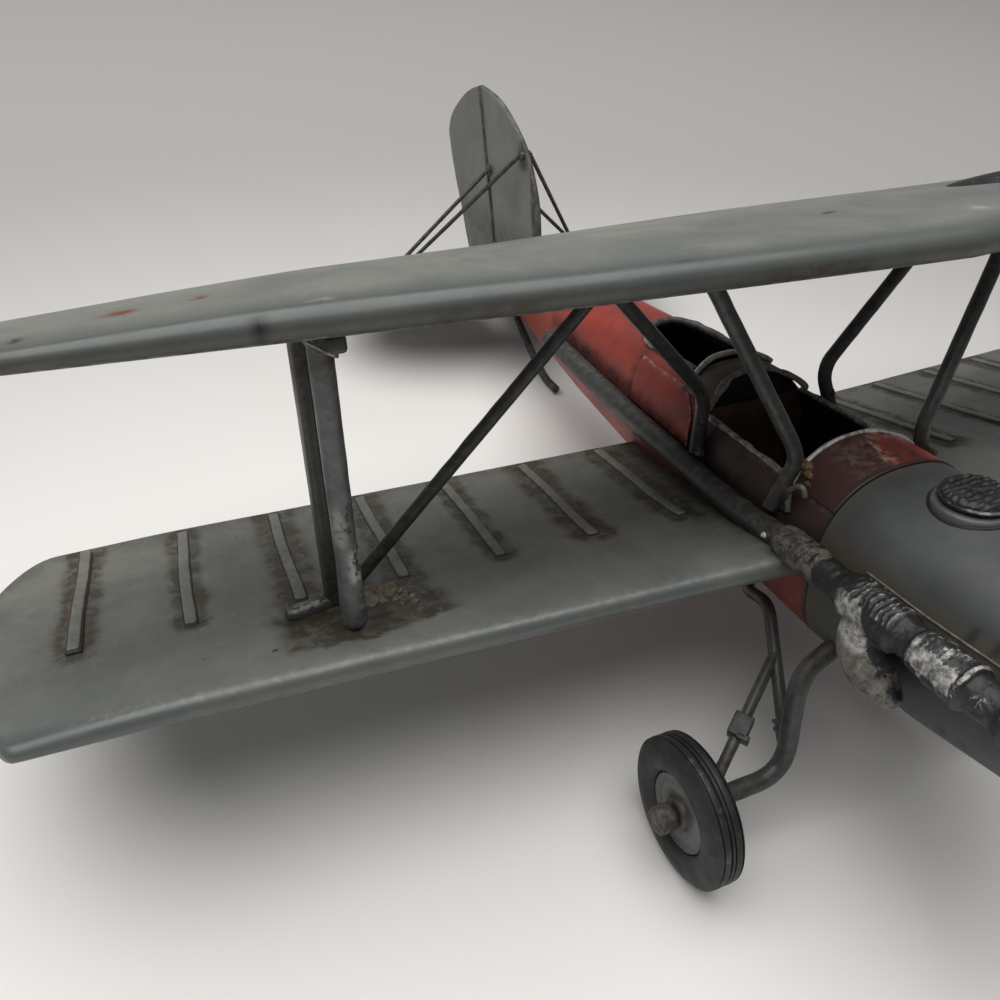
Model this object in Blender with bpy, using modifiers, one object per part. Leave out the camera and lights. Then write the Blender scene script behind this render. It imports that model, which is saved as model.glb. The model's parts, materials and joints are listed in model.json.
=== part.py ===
"""Handmade tinplate model of a two-seat biplane, standing on its wheels and tail skid.

Everything is placed in the fuselage's own axes: X to port, Y aft, Z up, with the
origin on the centre plane at the lower wing's trailing edge. Wings and struts are
given in wing axes, which are turned by the wing incidence. The empty "stance"
turns the whole model nose up, so that its wheels and skid stand on Z = 0.
"""
import math

import bmesh
import bpy
from mathutils import Matrix, Vector

MM = 0.001
GAP = 0.3
SIDES = {"starboard": -1, "port": 1}

# Wing axes against the fuselage axes
INCIDENCE = math.radians(7.5)

# Fuselage stations: aft position, half width, bottom, top, squareness of the lower half
BODY_STATIONS = [
    (-170.0, 15.5, -8.0, 24.0, 2.1),
    (-160.0, 18.5, -11.0, 27.5, 2.3),
    (-145.0, 21.5, -14.0, 30.5, 2.5),
    (-120.0, 23.3, -15.8, 31.8, 3.0),
    (-88.0, 23.5, -16.0, 32.0, 3.0),
    (-50.0, 22.5, -14.5, 31.6, 3.0),
    (0.0, 20.0, -11.5, 31.0, 2.9),
    (50.0, 16.0, -8.0, 29.3, 2.7),
    (100.0, 10.5, -3.5, 26.0, 2.4),
    (140.0, 5.5, 0.5, 22.0, 2.2),
    (156.0, 3.0, 3.5, 20.0, 2.0),
]
TOP_SQUARENESS = 2.4
BODY_SEGMENTS = 40
NOSE_Y = -170.0
COWL_JOINT_Y = -88.0
TAIL_POST_Y = 156.0
SKIN = 1.3 * MM

# Cockpits
FRONT_OPENING_Y = (-73.0, -28.3)
FRONT_CAVITY_Y = (-84.0, -29.8)
FRONT_SILL_Z = 23.7
REAR_OPENING_Y = (-17.5, 6.0)
REAR_OPENING_HALF = 11.0
REAR_CAVITY_Y = (-16.5, 27.0)
RIM_RADIUS = 0.8 * MM
DECK_Y = (-27.0, -18.9)
DECK_HALF = 15.0

# Filler cap on the cowling
CAP_Y = -107.0

# Lower wing, in wing axes
LOWER_CHORD = 90.0
LOWER_LE_SWEEP = 0.09
LOWER_TE_SWEEP = 0.08
LOWER_BOTTOM_Z = -3.3
LOWER_DROOP = 0.0088
LOWER_ROOT_X = 20.0
LOWER_NOSE = 6.0
LOWER_TOP = [(0.12, 5.9), (0.25, 4.9), (0.4, 3.9), (0.55, 3.4), (0.8, 3.3), (1.0, 3.3)]
LOWER_UNDER = [(1.0, 2.1), (0.74, 0.0)]
RIB_FIRST_X = 32.6
RIB_PITCH = 25.0
RIB_COUNT = 7
RIB_LENGTH = 52.5
RIB_WIDTH = 2.7
RIB_START = 3.0
RIB_LEAN = 0.066

# Upper wing, in wing axes
UPPER_TIP_X = 214.0
UPPER_BOTTOM_Z = 69.3
UPPER_NOSE = 6.8
UPPER_TOP = [(0.1, 6.9), (0.2, 7.4), (0.35, 7.6), (0.45, 7.2), (0.6, 6.0), (0.75, 3.9),
             (0.9, 1.6), (1.0, 0.2)]
UPPER_UNDER = [(1.0, -1.2), (0.65, 0.0)]

# Tank on the upper wing, in wing axes: its middle and half its length, width and height
TANK_CENTRE = (82.0, -60.0, 74.4)
TANK_SIZE = (50.0, 12.0, 4.2)

# Exhaust along each side
PIPE_RADIUS = 3.3 * MM
PIPE_ROOM = 0.8 * MM
PIPE_Z = 12.5
PIPE_AFT_Y = 62.0
PIPE_RISE_Y = -60.0
PIPE_RISE = 0.09
MANIFOLD_Z = 16.0
MANIFOLD_RADIUS = 5.2

# Landing gear, in wing axes for the axle and fuselage axes for the skid
AXLE = (61.0, -95.4, -54.1)
TYRE_RADIUS = 18.5
TYRE_WIDTH = 9.0
HUB_RADIUS = 10.0
AXLE_PIN_RADIUS = 1.5
SHOCK_COLLAR_AT = 0.62
SKID_FOOT = (98.0, -26.0)

# Propeller
PROP_Y = -180.0
PROP_Z = 8.0
PROP_RADIUS = 58.0
SHAFT_RADIUS = 2.0

# Tail
TAIL_THICKNESS = 2.2 * MM
HINGE_RAKE = 0.227
HINGE_FOOT = (152.0, 21.8)
TAILPLANE_Z = 11.0
STAY_RADIUS = 0.8
STAY_HEAD_X = 2.2
REAR_STAY_HEAD = (156.0, 51.2)
REAR_STAY_FOOT = (43.0, 163.0)
FRONT_STAY_HEAD = (123.4, 63.0)
FRONT_STAY_FOOT = (41.5, 158.5)

PAINTS = {
    "grey_paint": ((0.22, 0.26, 0.26), 0.45, 0.1),
    "dark_grey": ((0.06, 0.065, 0.065), 0.5, 0.3),
    "red_paint": ((0.42, 0.05, 0.035), 0.45, 0.1),
    "brushed_black": ((0.08, 0.08, 0.085), 0.4, 0.5),
    "bare_rim": ((0.45, 0.45, 0.43), 0.35, 0.8),
    "tan_panel": ((0.32, 0.26, 0.2), 0.6, 0.1),
    "tyre_rubber": ((0.02, 0.02, 0.022), 0.6, 0.0),
    "solder": ((0.3, 0.24, 0.16), 0.5, 0.6),
}


def clear_scene():
    for old in list(bpy.data.objects):
        bpy.data.objects.remove(old, do_unlink=True)


def new_collection(name):
    group = bpy.data.collections.new(name)
    bpy.context.scene.collection.children.link(group)
    return group


def make_materials():
    made = {}
    for name, (colour, roughness, metallic) in PAINTS.items():
        material = bpy.data.materials.new(name)
        material.use_nodes = True
        shader = material.node_tree.nodes["Principled BSDF"]
        shader.inputs["Base Color"].default_value = (*colour, 1.0)
        shader.inputs["Roughness"].default_value = roughness
        shader.inputs["Metallic"].default_value = metallic
        made[name] = material
    return made


clear_scene()
MODEL = new_collection("tinplate_biplane")
CUTTERS = new_collection("cutters")
MATERIALS = make_materials()
STANCE = bpy.data.objects.new("stance", None)
MODEL.objects.link(STANCE)


def point(x, y, z):
    """A point given in millimetres, in metres."""
    return Vector((x, y, z)) * MM


def wing_point(x, y, z):
    """A point of the wing axes, given in millimetres, in the fuselage axes."""
    return Matrix.Rotation(-INCIDENCE, 3, "X") @ point(x, y, z)


def add_object(name, data, paint, smooth=True):
    thing = bpy.data.objects.new(name, data)
    MODEL.objects.link(thing)
    thing.parent = STANCE
    data.materials.append(MATERIALS[paint])
    if smooth and isinstance(data, bpy.types.Mesh):
        data.shade_smooth()
        data.set_sharp_from_angle(angle=math.radians(40))
    return thing


def add_cutter(name, data):
    thing = bpy.data.objects.new(name, data)
    CUTTERS.objects.link(thing)
    thing.parent = STANCE
    thing.hide_render = True
    thing.display_type = "WIRE"
    return thing


def boolean(target, tool, operation="DIFFERENCE"):
    modifier = target.modifiers.new(tool.name, "BOOLEAN")
    modifier.object = tool
    modifier.operation = operation
    modifier.solver = "EXACT"


def mesh_from(bm, name):
    bmesh.ops.recalc_face_normals(bm, faces=bm.faces)
    mesh = bpy.data.meshes.new(name)
    bm.to_mesh(mesh)
    bm.free()
    return mesh


def loft(name, rings):
    """A closed solid through rings of equal numbers of points."""
    bm = bmesh.new()
    layers = [[bm.verts.new(p) for p in ring] for ring in rings]
    for first, second in zip(layers, layers[1:]):
        count = len(first)
        for i in range(count):
            j = (i + 1) % count
            bm.faces.new((first[i], first[j], second[j], second[i]))
    bm.faces.new(layers[0])
    bm.faces.new(layers[-1])
    return mesh_from(bm, name)


def box_mesh(name, low, high):
    """A box between two corners given in millimetres."""
    size = [b - a for a, b in zip(low, high)]
    centre = [(a + b) / 2 for a, b in zip(low, high)]
    bm = bmesh.new()
    place = Matrix.Translation(point(*centre)) @ Matrix.Diagonal((*point(*size), 1.0))
    bmesh.ops.create_cube(bm, size=1.0, matrix=place)
    return mesh_from(bm, name)


def cylinder_mesh(name, radius, depth, place, segments=32):
    """A cylinder along the local Z of place, sizes in millimetres."""
    bm = bmesh.new()
    bmesh.ops.create_cone(bm, cap_ends=True, segments=segments, radius1=radius * MM,
                          radius2=radius * MM, depth=depth * MM, matrix=place)
    return mesh_from(bm, name)


def turned(name, profile, axis, origin, paint, steps=32):
    """A solid turned from a profile of (radius, height) pairs about axis X, Y or Z."""
    bm = bmesh.new()
    verts = [bm.verts.new(point(radius, 0, height)) for radius, height in profile]
    for first, second in zip(verts, verts[1:]):
        bm.edges.new((first, second))
    mesh = bpy.data.meshes.new(name)
    bm.to_mesh(mesh)
    bm.free()
    thing = add_object(name, mesh, paint)
    screw = thing.modifiers.new("turn", "SCREW")
    screw.steps = steps
    screw.render_steps = steps
    screw.use_merge_vertices = True
    screw.merge_threshold = 0.00001
    screw.use_smooth_shade = True
    turns = {"X": (0, math.pi / 2, 0), "Y": (math.pi / 2, 0, 0), "Z": (0, 0, 0)}
    thing.rotation_euler = turns[axis]
    thing.location = origin
    return thing


def bar_curve(name, points, radius, resolution=2, radii=None, cyclic=False):
    """A round bar along points in metres, as a curve with filled caps."""
    curve = bpy.data.curves.new(name, "CURVE")
    curve.dimensions = "3D"
    curve.bevel_depth = radius
    curve.bevel_resolution = resolution
    curve.use_fill_caps = not cyclic
    spline = curve.splines.new("POLY")
    spline.points.add(len(points) - 1)
    for index, place in enumerate(points):
        spline.points[index].co = (*place, 1.0)
        if radii:
            spline.points[index].radius = radii[index]
    spline.use_cyclic_u = cyclic
    return curve


def solid_mesh(name, curve):
    """The closed mesh of a curve."""
    holder = bpy.data.objects.new(name + "_curve", curve)
    MODEL.objects.link(holder)
    graph = bpy.context.evaluated_depsgraph_get()
    mesh = bpy.data.meshes.new_from_object(holder.evaluated_get(graph))
    bpy.data.objects.remove(holder, do_unlink=True)
    bm = bmesh.new()
    bm.from_mesh(mesh)
    bmesh.ops.remove_doubles(bm, verts=bm.verts, dist=0.00001)
    return mesh_from(bm, name)


def tube(name, points, radius, paint, cuts=(), **shape):
    """A round bar, trimmed back from the pieces it meets."""
    curve = bar_curve(name, points, radius, **shape)
    if not cuts:
        return add_object(name, curve, paint)
    bar = add_object(name, solid_mesh(name, curve), paint)
    for cut in cuts:
        boolean(bar, cut)
    return bar


def tube_cutter(name, points, radius, **shape):
    return add_cutter(name, solid_mesh(name, bar_curve(name, points, radius, **shape)))


def rounded_path(corners, bend, pieces=5):
    """Corners in metres, each inner one replaced by an arc that starts bend before it."""
    path = [corners[0]]
    for before, corner, after in zip(corners, corners[1:], corners[2:]):
        reach_in = min(bend, (corner - before).length * 0.45)
        reach_out = min(bend, (after - corner).length * 0.45)
        start = corner + (before - corner).normalized() * reach_in
        end = corner + (after - corner).normalized() * reach_out
        for i in range(pieces + 1):
            t = i / pieces
            path.append(start * (1 - t) ** 2 + corner * 2 * t * (1 - t) + end * t ** 2)
    path.append(corners[-1])
    return path


def smooth_points(anchors, pieces=4):
    """An open Catmull-Rom curve through pairs, with its end pairs kept."""
    padded = [anchors[0], *anchors, anchors[-1]]
    curve = []
    for a, b, c, d in zip(padded, padded[1:], padded[2:], padded[3:]):
        for i in range(pieces):
            t = i / pieces
            curve.append(tuple(
                0.5 * (2 * q + (r - p) * t + (2 * p - 5 * q + 4 * r - s) * t * t
                       + (3 * q - p - 3 * r + s) * t ** 3)
                for p, q, r, s in zip(a, b, c, d)))
    curve.append(anchors[-1])
    return curve


def flat_plate(name, outline, thickness, paint, turn, origin=(0, 0, 0)):
    """A plate of an outline in millimetres, as a filled 2D curve made a mesh."""
    curve = bpy.data.curves.new(name, "CURVE")
    curve.dimensions = "2D"
    curve.fill_mode = "BOTH"
    curve.extrude = thickness / 2
    spline = curve.splines.new("POLY")
    spline.points.add(len(outline) - 1)
    for index, (x, y) in enumerate(outline):
        spline.points[index].co = (x * MM, y * MM, 0.0, 1.0)
    spline.use_cyclic_u = True
    thing = add_object(name, solid_mesh(name, curve), paint, smooth=False)
    thing.rotation_euler = turn
    thing.location = origin
    return thing


# Fuselage sections

def station(y):
    """Half width, bottom, top and squareness of the body at an aft position."""
    for low, high in zip(BODY_STATIONS, BODY_STATIONS[1:]):
        if low[0] <= y <= high[0]:
            share = (y - low[0]) / (high[0] - low[0])
            return [a + (b - a) * share for a, b in zip(low[1:], high[1:])]
    edge = BODY_STATIONS[0] if y < BODY_STATIONS[0][0] else BODY_STATIONS[-1]
    return list(edge[1:])


def body_ring(y, grow=0.0):
    half, bottom, top, low_power = station(y)
    half += grow
    rise = (top - bottom) / 2 + grow
    middle = (top + bottom) / 2
    ring = []
    for i in range(BODY_SEGMENTS):
        angle = 2 * math.pi * i / BODY_SEGMENTS
        power = low_power if math.sin(angle) < 0 else min(low_power, TOP_SQUARENESS)
        across = math.copysign(abs(math.cos(angle)) ** (2 / power), math.cos(angle))
        up = math.copysign(abs(math.sin(angle)) ** (2 / power), math.sin(angle))
        ring.append(point(half * across, y, middle + rise * up))
    return ring


def body_mesh(name, start, end, grow=0.0):
    inner = [s[0] for s in BODY_STATIONS if start < s[0] < end]
    return loft(name, [body_ring(y, grow) for y in [start, *inner, end]])


def surface_x(y, z):
    """Half width of the body at an aft position and a height."""
    half, bottom, top, power = station(y)
    rise = (top - bottom) / 2
    above = (z - (top + bottom) / 2) / rise
    if above > 0:
        power = min(power, TOP_SQUARENESS)
    return half * (1 - min(1.0, abs(above)) ** power) ** (1 / power)


def surface_z(x, y):
    """Height of the body's upper surface."""
    half, bottom, top, power = station(y)
    power = min(power, TOP_SQUARENESS)
    share = min(1.0, abs(x) / half)
    return (top + bottom) / 2 + (top - bottom) / 2 * (1 - share ** power) ** (1 / power)


def arch(y, reach, lift, pieces=10):
    """Points over the top of the body at one station, lift above its surface."""
    half, bottom, top, _ = station(y)
    middle = Vector((0, y, (top + bottom) / 2))
    path = []
    for i in range(pieces + 1):
        x = -reach + 2 * reach * i / pieces
        place = Vector((x, y, surface_z(x, y)))
        away = (place - middle).normalized()
        path.append((place + away * lift) * MM)
    return path


def make_body():
    shell = add_object("fuselage", body_mesh(
        "fuselage", COWL_JOINT_Y + GAP / 2, TAIL_POST_Y), "red_paint")
    cuts = [
        add_cutter("front_opening", box_mesh(
            "front_opening", (-30, FRONT_OPENING_Y[0], FRONT_SILL_Z),
            (30, FRONT_OPENING_Y[1], 50))),
        add_cutter("front_cavity", body_mesh(
            "front_cavity", *FRONT_CAVITY_Y, -SKIN / MM)),
        add_cutter("rear_cavity", body_mesh(
            "rear_cavity", *REAR_CAVITY_Y, -SKIN / MM)),
        add_cutter("rear_opening", loft("rear_opening", [
            [point(x, y, z) for x, y in rear_outline()] for z in (18, 50)])),
    ]
    for cut in cuts:
        boolean(shell, cut)
    cowl = add_object("cowling", body_mesh(
        "cowling", NOSE_Y, COWL_JOINT_Y - GAP / 2), "grey_paint")
    across = Matrix.Rotation(math.pi / 2, 4, "X")
    bore = Matrix.Translation(point(0, NOSE_Y + 6, PROP_Z)) @ across
    boolean(cowl, add_cutter("shaft_bore", cylinder_mesh(
        "shaft_bore", SHAFT_RADIUS + 0.4, 14.0, bore)))
    return shell, cowl


def rear_outline():
    """The rear opening seen from above: a straight front and a round back."""
    front, centre = REAR_OPENING_Y
    half = REAR_OPENING_HALF
    arc = [(half * math.cos(a), centre + half * math.sin(a))
           for a in [math.pi * i / 12 for i in range(13)]]
    return [(half, front), *arc, (-half, front)]


def make_cockpit_trim():
    lift = GAP + RIM_RADIUS / MM
    front_y, back_y = FRONT_OPENING_Y
    sill = FRONT_SILL_Z + lift
    reach = [surface_x(y, FRONT_SILL_Z) - 0.9 for y in (front_y, back_y)]
    side = [(-reach[0] + (reach[0] - reach[1]) * t, front_y + (back_y - front_y) * t)
            for t in (0.12, 0.3, 0.5, 0.7, 0.88)]
    starboard = [point(x, y, sill) for x, y in side]
    port = [point(-x, y, sill) for x, y in reversed(side)]
    hoop = arch(front_y, reach[0] - 3.0, lift + 0.2)[::-1] + starboard
    hoop += arch(back_y, reach[1] - 1.2, lift + GAP) + port
    tube("front_cockpit_rim", hoop, RIM_RADIUS, "bare_rim", cyclic=True)
    outline = rear_outline()
    front_bar = [(outline[-1][0] * (1 - 2 * t), outline[-1][1]) for t in (0.25, 0.5, 0.75)]
    loop = [point(x, y, surface_z(x, y) + lift + 0.1) for x, y in outline + front_bar]
    tube("rear_cockpit_rim", loop, RIM_RADIUS + 0.1 * MM, "bare_rim", cyclic=True)
    bm = bmesh.new()
    bmesh.ops.create_grid(bm, x_segments=14, y_segments=2, size=0.5)
    for vert in bm.verts:
        x = vert.co.x * 2 * DECK_HALF
        y = sum(DECK_Y) / 2 + vert.co.y * (DECK_Y[1] - DECK_Y[0])
        vert.co = point(x, y, surface_z(x, y) + GAP)
    deck = add_object("cockpit_deck_panel", mesh_from(bm, "cockpit_deck_panel"), "tan_panel")
    thicken = deck.modifiers.new("thicken", "SOLIDIFY")
    thicken.thickness = 0.8 * MM
    thicken.offset = 1.0


def make_filler_cap(clearance):
    place = point(0, CAP_Y, 0)
    base = turned("filler_cap_base", [(0, 33.2), (8.3, 33.2), (8.8, 32.7), (8.8, 27), (0, 27)],
                  "Z", place, "dark_grey", 32)
    boolean(base, clearance)
    turned("filler_cap", [(0, 36.4), (4.5, 36.3), (7.0, 35.9), (7.7, 35.2), (7.7, 33.5), (0, 33.5)],
           "Z", place, "brushed_black", 32)


# Wings

def lower_edges(x):
    """Leading and trailing edge of the lower wing at a span position."""
    lead = -LOWER_CHORD + LOWER_LE_SWEEP * x
    trail = LOWER_TE_SWEEP * x
    if x > 189:
        trail -= (x - 189) ** 2 * 0.075
    if x > 197:
        lead += (x - 197) ** 2 * 0.32
    return lead, trail


def upper_edges(x):
    """Leading and trailing edge of the upper wing at a span position."""
    lead = -103.5 + 0.11 * x + 0.00033 * x * x
    trail = -10 - 0.03 * x - 0.0003 * x * x
    if x > 178:
        share = (x - 178) / (UPPER_TIP_X - 178)
        close = 1 - math.sqrt(max(0.0, 1 - share ** 2.2))
        lead += (-50 - lead) * close
        trail += (-50 - trail) * close
    return lead, trail


def wing_section(edges, bottom, nose, top, under, thin=1.0, grow=0.0):
    """A flat-bottomed section with a blunt rolled nose, as (y, z) pairs."""
    lead, trail = edges[0] - grow, edges[1] + grow
    chord = trail - lead
    half = nose * thin / 2 + grow
    reach = min(half, chord * 0.45)
    low = bottom - grow
    section = []
    for i in range(7):
        angle = math.radians(-90 - 30 * i)
        section.append((lead + reach + reach * math.cos(angle), low + half + half * math.sin(angle)))
    section += [(lead + chord * share, low + rise * thin + 2 * grow) for share, rise in top]
    section += [(lead + chord * share, low + rise * thin) for share, rise in under]
    return section


def upper_thickness(x):
    """Share of the full thickness left at a span position."""
    if x < 185:
        return 1.0 - 0.42 * max(0.0, (x - 120) / 65) ** 1.5
    return 0.58 - 0.28 * max(0.0, x - 196) / 18


def upper_wing_mesh(name, grow=0.0):
    rings = []
    spans = [0, 50, 100, 140, 170, 185, 196, 204, 209, 212, 213.6]
    for x in [-s for s in reversed(spans[1:])] + spans:
        section = wing_section(upper_edges(abs(x)), UPPER_BOTTOM_Z, UPPER_NOSE, UPPER_TOP,
                               UPPER_UNDER, upper_thickness(abs(x)), grow)
        rings.append([point(x, y, z) for y, z in section])
    return loft(name, rings)


def make_upper_wing():
    wing = add_object("upper_wing", upper_wing_mesh("upper_wing"), "grey_paint")
    wing.rotation_euler.x = -INCIDENCE


def upper_clearance():
    """The upper wing and the gap round it."""
    cut = add_cutter("upper_clearance", upper_wing_mesh("upper_clearance", GAP))
    cut.rotation_euler.x = -INCIDENCE
    return cut


def lower_wing_mesh(name, sign, grow=0.0):
    rings = []
    for x in (12, 60, 110, 160, 185, 192, 198, 202.5, 205.5 + grow):
        thin = 1.0 if x < 160 else 1.0 - 0.4 * ((x - 160) / 46) ** 1.5
        section = wing_section(lower_edges(x), LOWER_BOTTOM_Z, LOWER_NOSE, LOWER_TOP,
                               LOWER_UNDER, thin, grow)
        rings.append([point(sign * x, y, z - lower_droop(x)) for y, z in section])
    return loft(name, rings)


def lower_droop(x):
    """How far the lower wing hangs below its root at a span position."""
    return LOWER_DROOP * (x - LOWER_ROOT_X)


def make_lower_wing(side, cuts):
    sign = SIDES[side]
    name = "lower_wing_" + side
    wing = add_object(name, lower_wing_mesh(name, sign), "grey_paint")
    wing.rotation_euler.x = -INCIDENCE
    for index in range(RIB_COUNT):
        x = RIB_FIRST_X + RIB_PITCH * index
        trail = lower_edges(x)[1]
        high, low = (lower_surface(x, trail - at) for at in (RIB_LENGTH, RIB_START))
        rib = box_mesh("rib", (-RIB_WIDTH / 2, -RIB_LENGTH / 2, -1.0),
                       (RIB_WIDTH / 2, RIB_LENGTH / 2, 0.8))
        tool = add_cutter(f"rib_{side}_{index}", rib)
        middle = point(sign * (x + 1.6), trail - RIB_START - RIB_LENGTH / 2, (high + low) / 2)
        tilt = math.atan2(low - high, RIB_LENGTH - RIB_START)
        tool.matrix_local = (Matrix.Rotation(-INCIDENCE, 4, "X") @ Matrix.Translation(middle)
                             @ Matrix.Rotation(sign * RIB_LEAN, 4, "Z")
                             @ Matrix.Rotation(tilt, 4, "X"))
        boolean(wing, tool, "UNION")
    for cut in cuts:
        boolean(wing, cut)


def lower_clearance(side):
    name = "wing_clearance_" + side
    cut = add_cutter(name, lower_wing_mesh(name, SIDES[side], GAP))
    cut.rotation_euler.x = -INCIDENCE
    return cut


def lower_surface(x, y):
    """Height of the lower wing's upper surface, in wing axes."""
    lead, trail = lower_edges(x)
    share = (y - lead) / (trail - lead)
    bottom = LOWER_BOTTOM_Z - lower_droop(x)
    for (s0, z0), (s1, z1) in zip(LOWER_TOP, LOWER_TOP[1:]):
        if s0 <= share <= s1:
            return bottom + z0 + (z1 - z0) * (share - s0) / (s1 - s0)
    return bottom + LOWER_TOP[0][1]


# Struts between the wings

def make_interplane(side, cuts):
    sign = SIDES[side]
    top = UPPER_BOTTOM_Z + 3
    line = [wing_point(sign * 128.0, -65.0, -1.9), wing_point(sign * 129.4, -78, top)]
    tube("interplane_strut_front_" + side, line, 2.4 * MM, "grey_paint", cuts, resolution=4)
    front_clear = tube_cutter("front_strut_clearance_" + side, line, 2.7 * MM, resolution=4)
    foot = point(sign * 129.4, -50.2, -2)
    head = point(sign * 131.2, -65, top)
    along = head - foot
    bar = box_mesh("interplane_strut_rear_" + side,
                   (-1.6, -2.6, 0), (1.6, 2.6, along.length / MM))
    rear = add_object("interplane_strut_rear_" + side, bar, "dark_grey")
    wing_turn = Matrix.Rotation(-INCIDENCE, 4, "X")
    rear.matrix_local = (wing_turn @ Matrix.Translation(foot)
                         @ along.to_track_quat("Z", "Y").to_matrix().to_4x4())
    round_off = rear.modifiers.new("edges", "BEVEL")
    round_off.width = 0.6 * MM
    round_off.segments = 2
    block = add_cutter("head_block_" + side, box_mesh(
        "head_block_" + side, (-3.2, -8.5, -4.2), (3.2, 8.5, 2)))
    block.matrix_local = wing_turn @ Matrix.Translation(
        point(sign * 127.8, -71.5, UPPER_BOTTOM_Z))
    boolean(rear, block, "UNION")
    strip = [wing_point(sign * x, y, lower_surface(x, y) + 0.9)
             for x, y in ((140.8, -52.8), (135, -52.2), (128.5, -50.6), (121.5, -53.2), (114.5, -57.0))]
    strip_clear = tube_cutter("foot_strip_clearance_" + side, strip, 1.6 * MM, resolution=3)
    for cut in (*cuts, front_clear, strip_clear):
        boolean(rear, cut)
    tube("strut_foot_strip_" + side, strip, 1.2 * MM, "solder", cuts, resolution=3)
    brace = [wing_point(sign * 122.4, -43.2, -2), wing_point(sign * 59.3, -62.5, top)]
    tube("diagonal_brace_" + side, brace, 1.6 * MM, "dark_grey", cuts, resolution=3)


def make_cabane(side, cuts):
    sign = SIDES[side]
    front = [point(sign * 46.6, -62.6, 81.0), point(sign * 19.2, -73.1, 31.3),
             point(sign * 21.8, -72.2, 24), point(sign * 24.8, -71.6, 16.5)]
    tube("cabane_strut_front_" + side, rounded_path(front, 5 * MM), 1.9 * MM, "grey_paint",
         cuts, resolution=3)
    rear = [point(sign * 61, -33.1, 77.2), point(sign * 19.8, -34.6, 31.6),
            point(sign * 22.3, -37.4, 21.5), point(sign * 23.5, -38.3, 15)]
    tube("cabane_strut_rear_" + side, rounded_path(rear, 5 * MM), 1.9 * MM, "grey_paint",
         cuts, resolution=3)


# Exhaust

def pipe_run(side, front=-82):
    """The exhaust pipe's centre line along the body side."""
    stations = (PIPE_AFT_Y, 50, 35, 20, 0, -20, -40, PIPE_RISE_Y, front)
    return [point(SIDES[side] * (surface_x(y, PIPE_Z) + 3.7), y,
                  PIPE_Z + PIPE_RISE * max(0.0, PIPE_RISE_Y - y)) for y in stations]


def manifold_centre(side):
    reach = surface_x(-113, MANIFOLD_Z) + MANIFOLD_RADIUS + GAP
    return point(SIDES[side] * reach, 0, MANIFOLD_Z)


def exhaust_clearances(side):
    """Cutters that keep the lower wing clear of the pipe and the manifold."""
    pipe = tube_cutter("pipe_clearance_" + side, pipe_run(side, -86), PIPE_RADIUS + PIPE_ROOM,
                       resolution=4)
    across = Matrix.Rotation(math.pi / 2, 4, "X")
    place = Matrix.Translation(manifold_centre(side) + point(0, -100, 0)) @ across
    manifold = add_cutter("manifold_clearance_" + side, cylinder_mesh(
        "manifold_clearance_" + side, 4.8, 36.0, place))
    return [pipe, manifold]


def make_exhaust(side, clearance):
    sign = SIDES[side]
    tube("exhaust_pipe_" + side, pipe_run(side), PIPE_RADIUS, "dark_grey", resolution=4)
    profile = [(0, 158), (3.6, 158), (4.7, 156), (4.9, 148), (4.2, 146), (4.3, 140), (5.1, 138),
               (MANIFOLD_RADIUS, 130), (4.9, 127.5), (4.2, 126), (4.2, 122), (4.7, 121),
               (MANIFOLD_RADIUS, 119), (MANIFOLD_RADIUS, 107), (4.7, 104.5), (4.0, 103), (4.0, 97),
               (4.3, 96), (4.3, 84), (4.1, 82.3), (0, 82.3)]
    bank = turned("exhaust_manifold_" + side, profile, "Y", manifold_centre(side),
                  "brushed_black", 20)
    drop = [(28.4, -110, 13), (28.7, -112.3, 8.8), (28.9, -114.8, 5), (29.0, -118.2, 1.8),
            (29.1, -123.6, 0.0)]
    stub = tube_cutter("exhaust_stub_" + side, [point(sign * a, b, c) for a, b, c in drop],
                       1.0 * MM, resolution=4, radii=(4.4, 6.3, 6.5, 5.1, 1.9))
    boolean(bank, stub, "UNION")
    boolean(bank, clearance)


# Landing gear

def axle_point(x):
    return wing_point(x, AXLE[1], AXLE[2])


def make_gear(side, clearance):
    sign = SIDES[side]
    inner = AXLE[0] - TYRE_WIDTH / 2
    leg = [axle_point(sign * (inner - 1.6)), wing_point(sign * 33, -95.4, -54.1),
           wing_point(sign * 30.5, -95.4, -25.5), wing_point(sign * 20.0, -95.4, -20.5)]
    tube("gear_leg_" + side, rounded_path(leg, 9 * MM, 6), 2.4 * MM, "grey_paint",
         [clearance], resolution=4)
    rear = [wing_point(sign * 12.0, -55.0, -20.0), wing_point(sign * 20.0, -60.1, -22.5),
            wing_point(sign * 21.0, -71.5, -21.3), wing_point(sign * 29.4, -90.6, -46.5)]
    rear = rounded_path(rear, 4 * MM, 3)
    tube("gear_strut_rear_" + side, rear, 1.7 * MM, "grey_paint", [clearance], resolution=3)
    rear_clear = tube_cutter("gear_rear_clearance_" + side, rear, 2.0 * MM, resolution=3)
    top, foot = wing_point(sign * 24.2, -79.0, -31.0), wing_point(sign * 50, -92.0, -50.6)
    strut = add_object("gear_shock_strut_" + side, solid_mesh("shock", bar_curve(
        "shock", [top, foot], 1.5 * MM, 3)), "grey_paint")
    collar = add_cutter("shock_collar_" + side, box_mesh(
        "shock_collar_" + side, (-2.7, -2.5, -3.1), (2.7, 2.5, 3.1)))
    turn = (foot - top).to_track_quat("Z", "X").to_matrix().to_4x4()
    collar.matrix_local = Matrix.Translation(top.lerp(foot, SHOCK_COLLAR_AT)) @ turn
    boolean(strut, collar, "UNION")
    boolean(strut, rear_clear)


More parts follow.
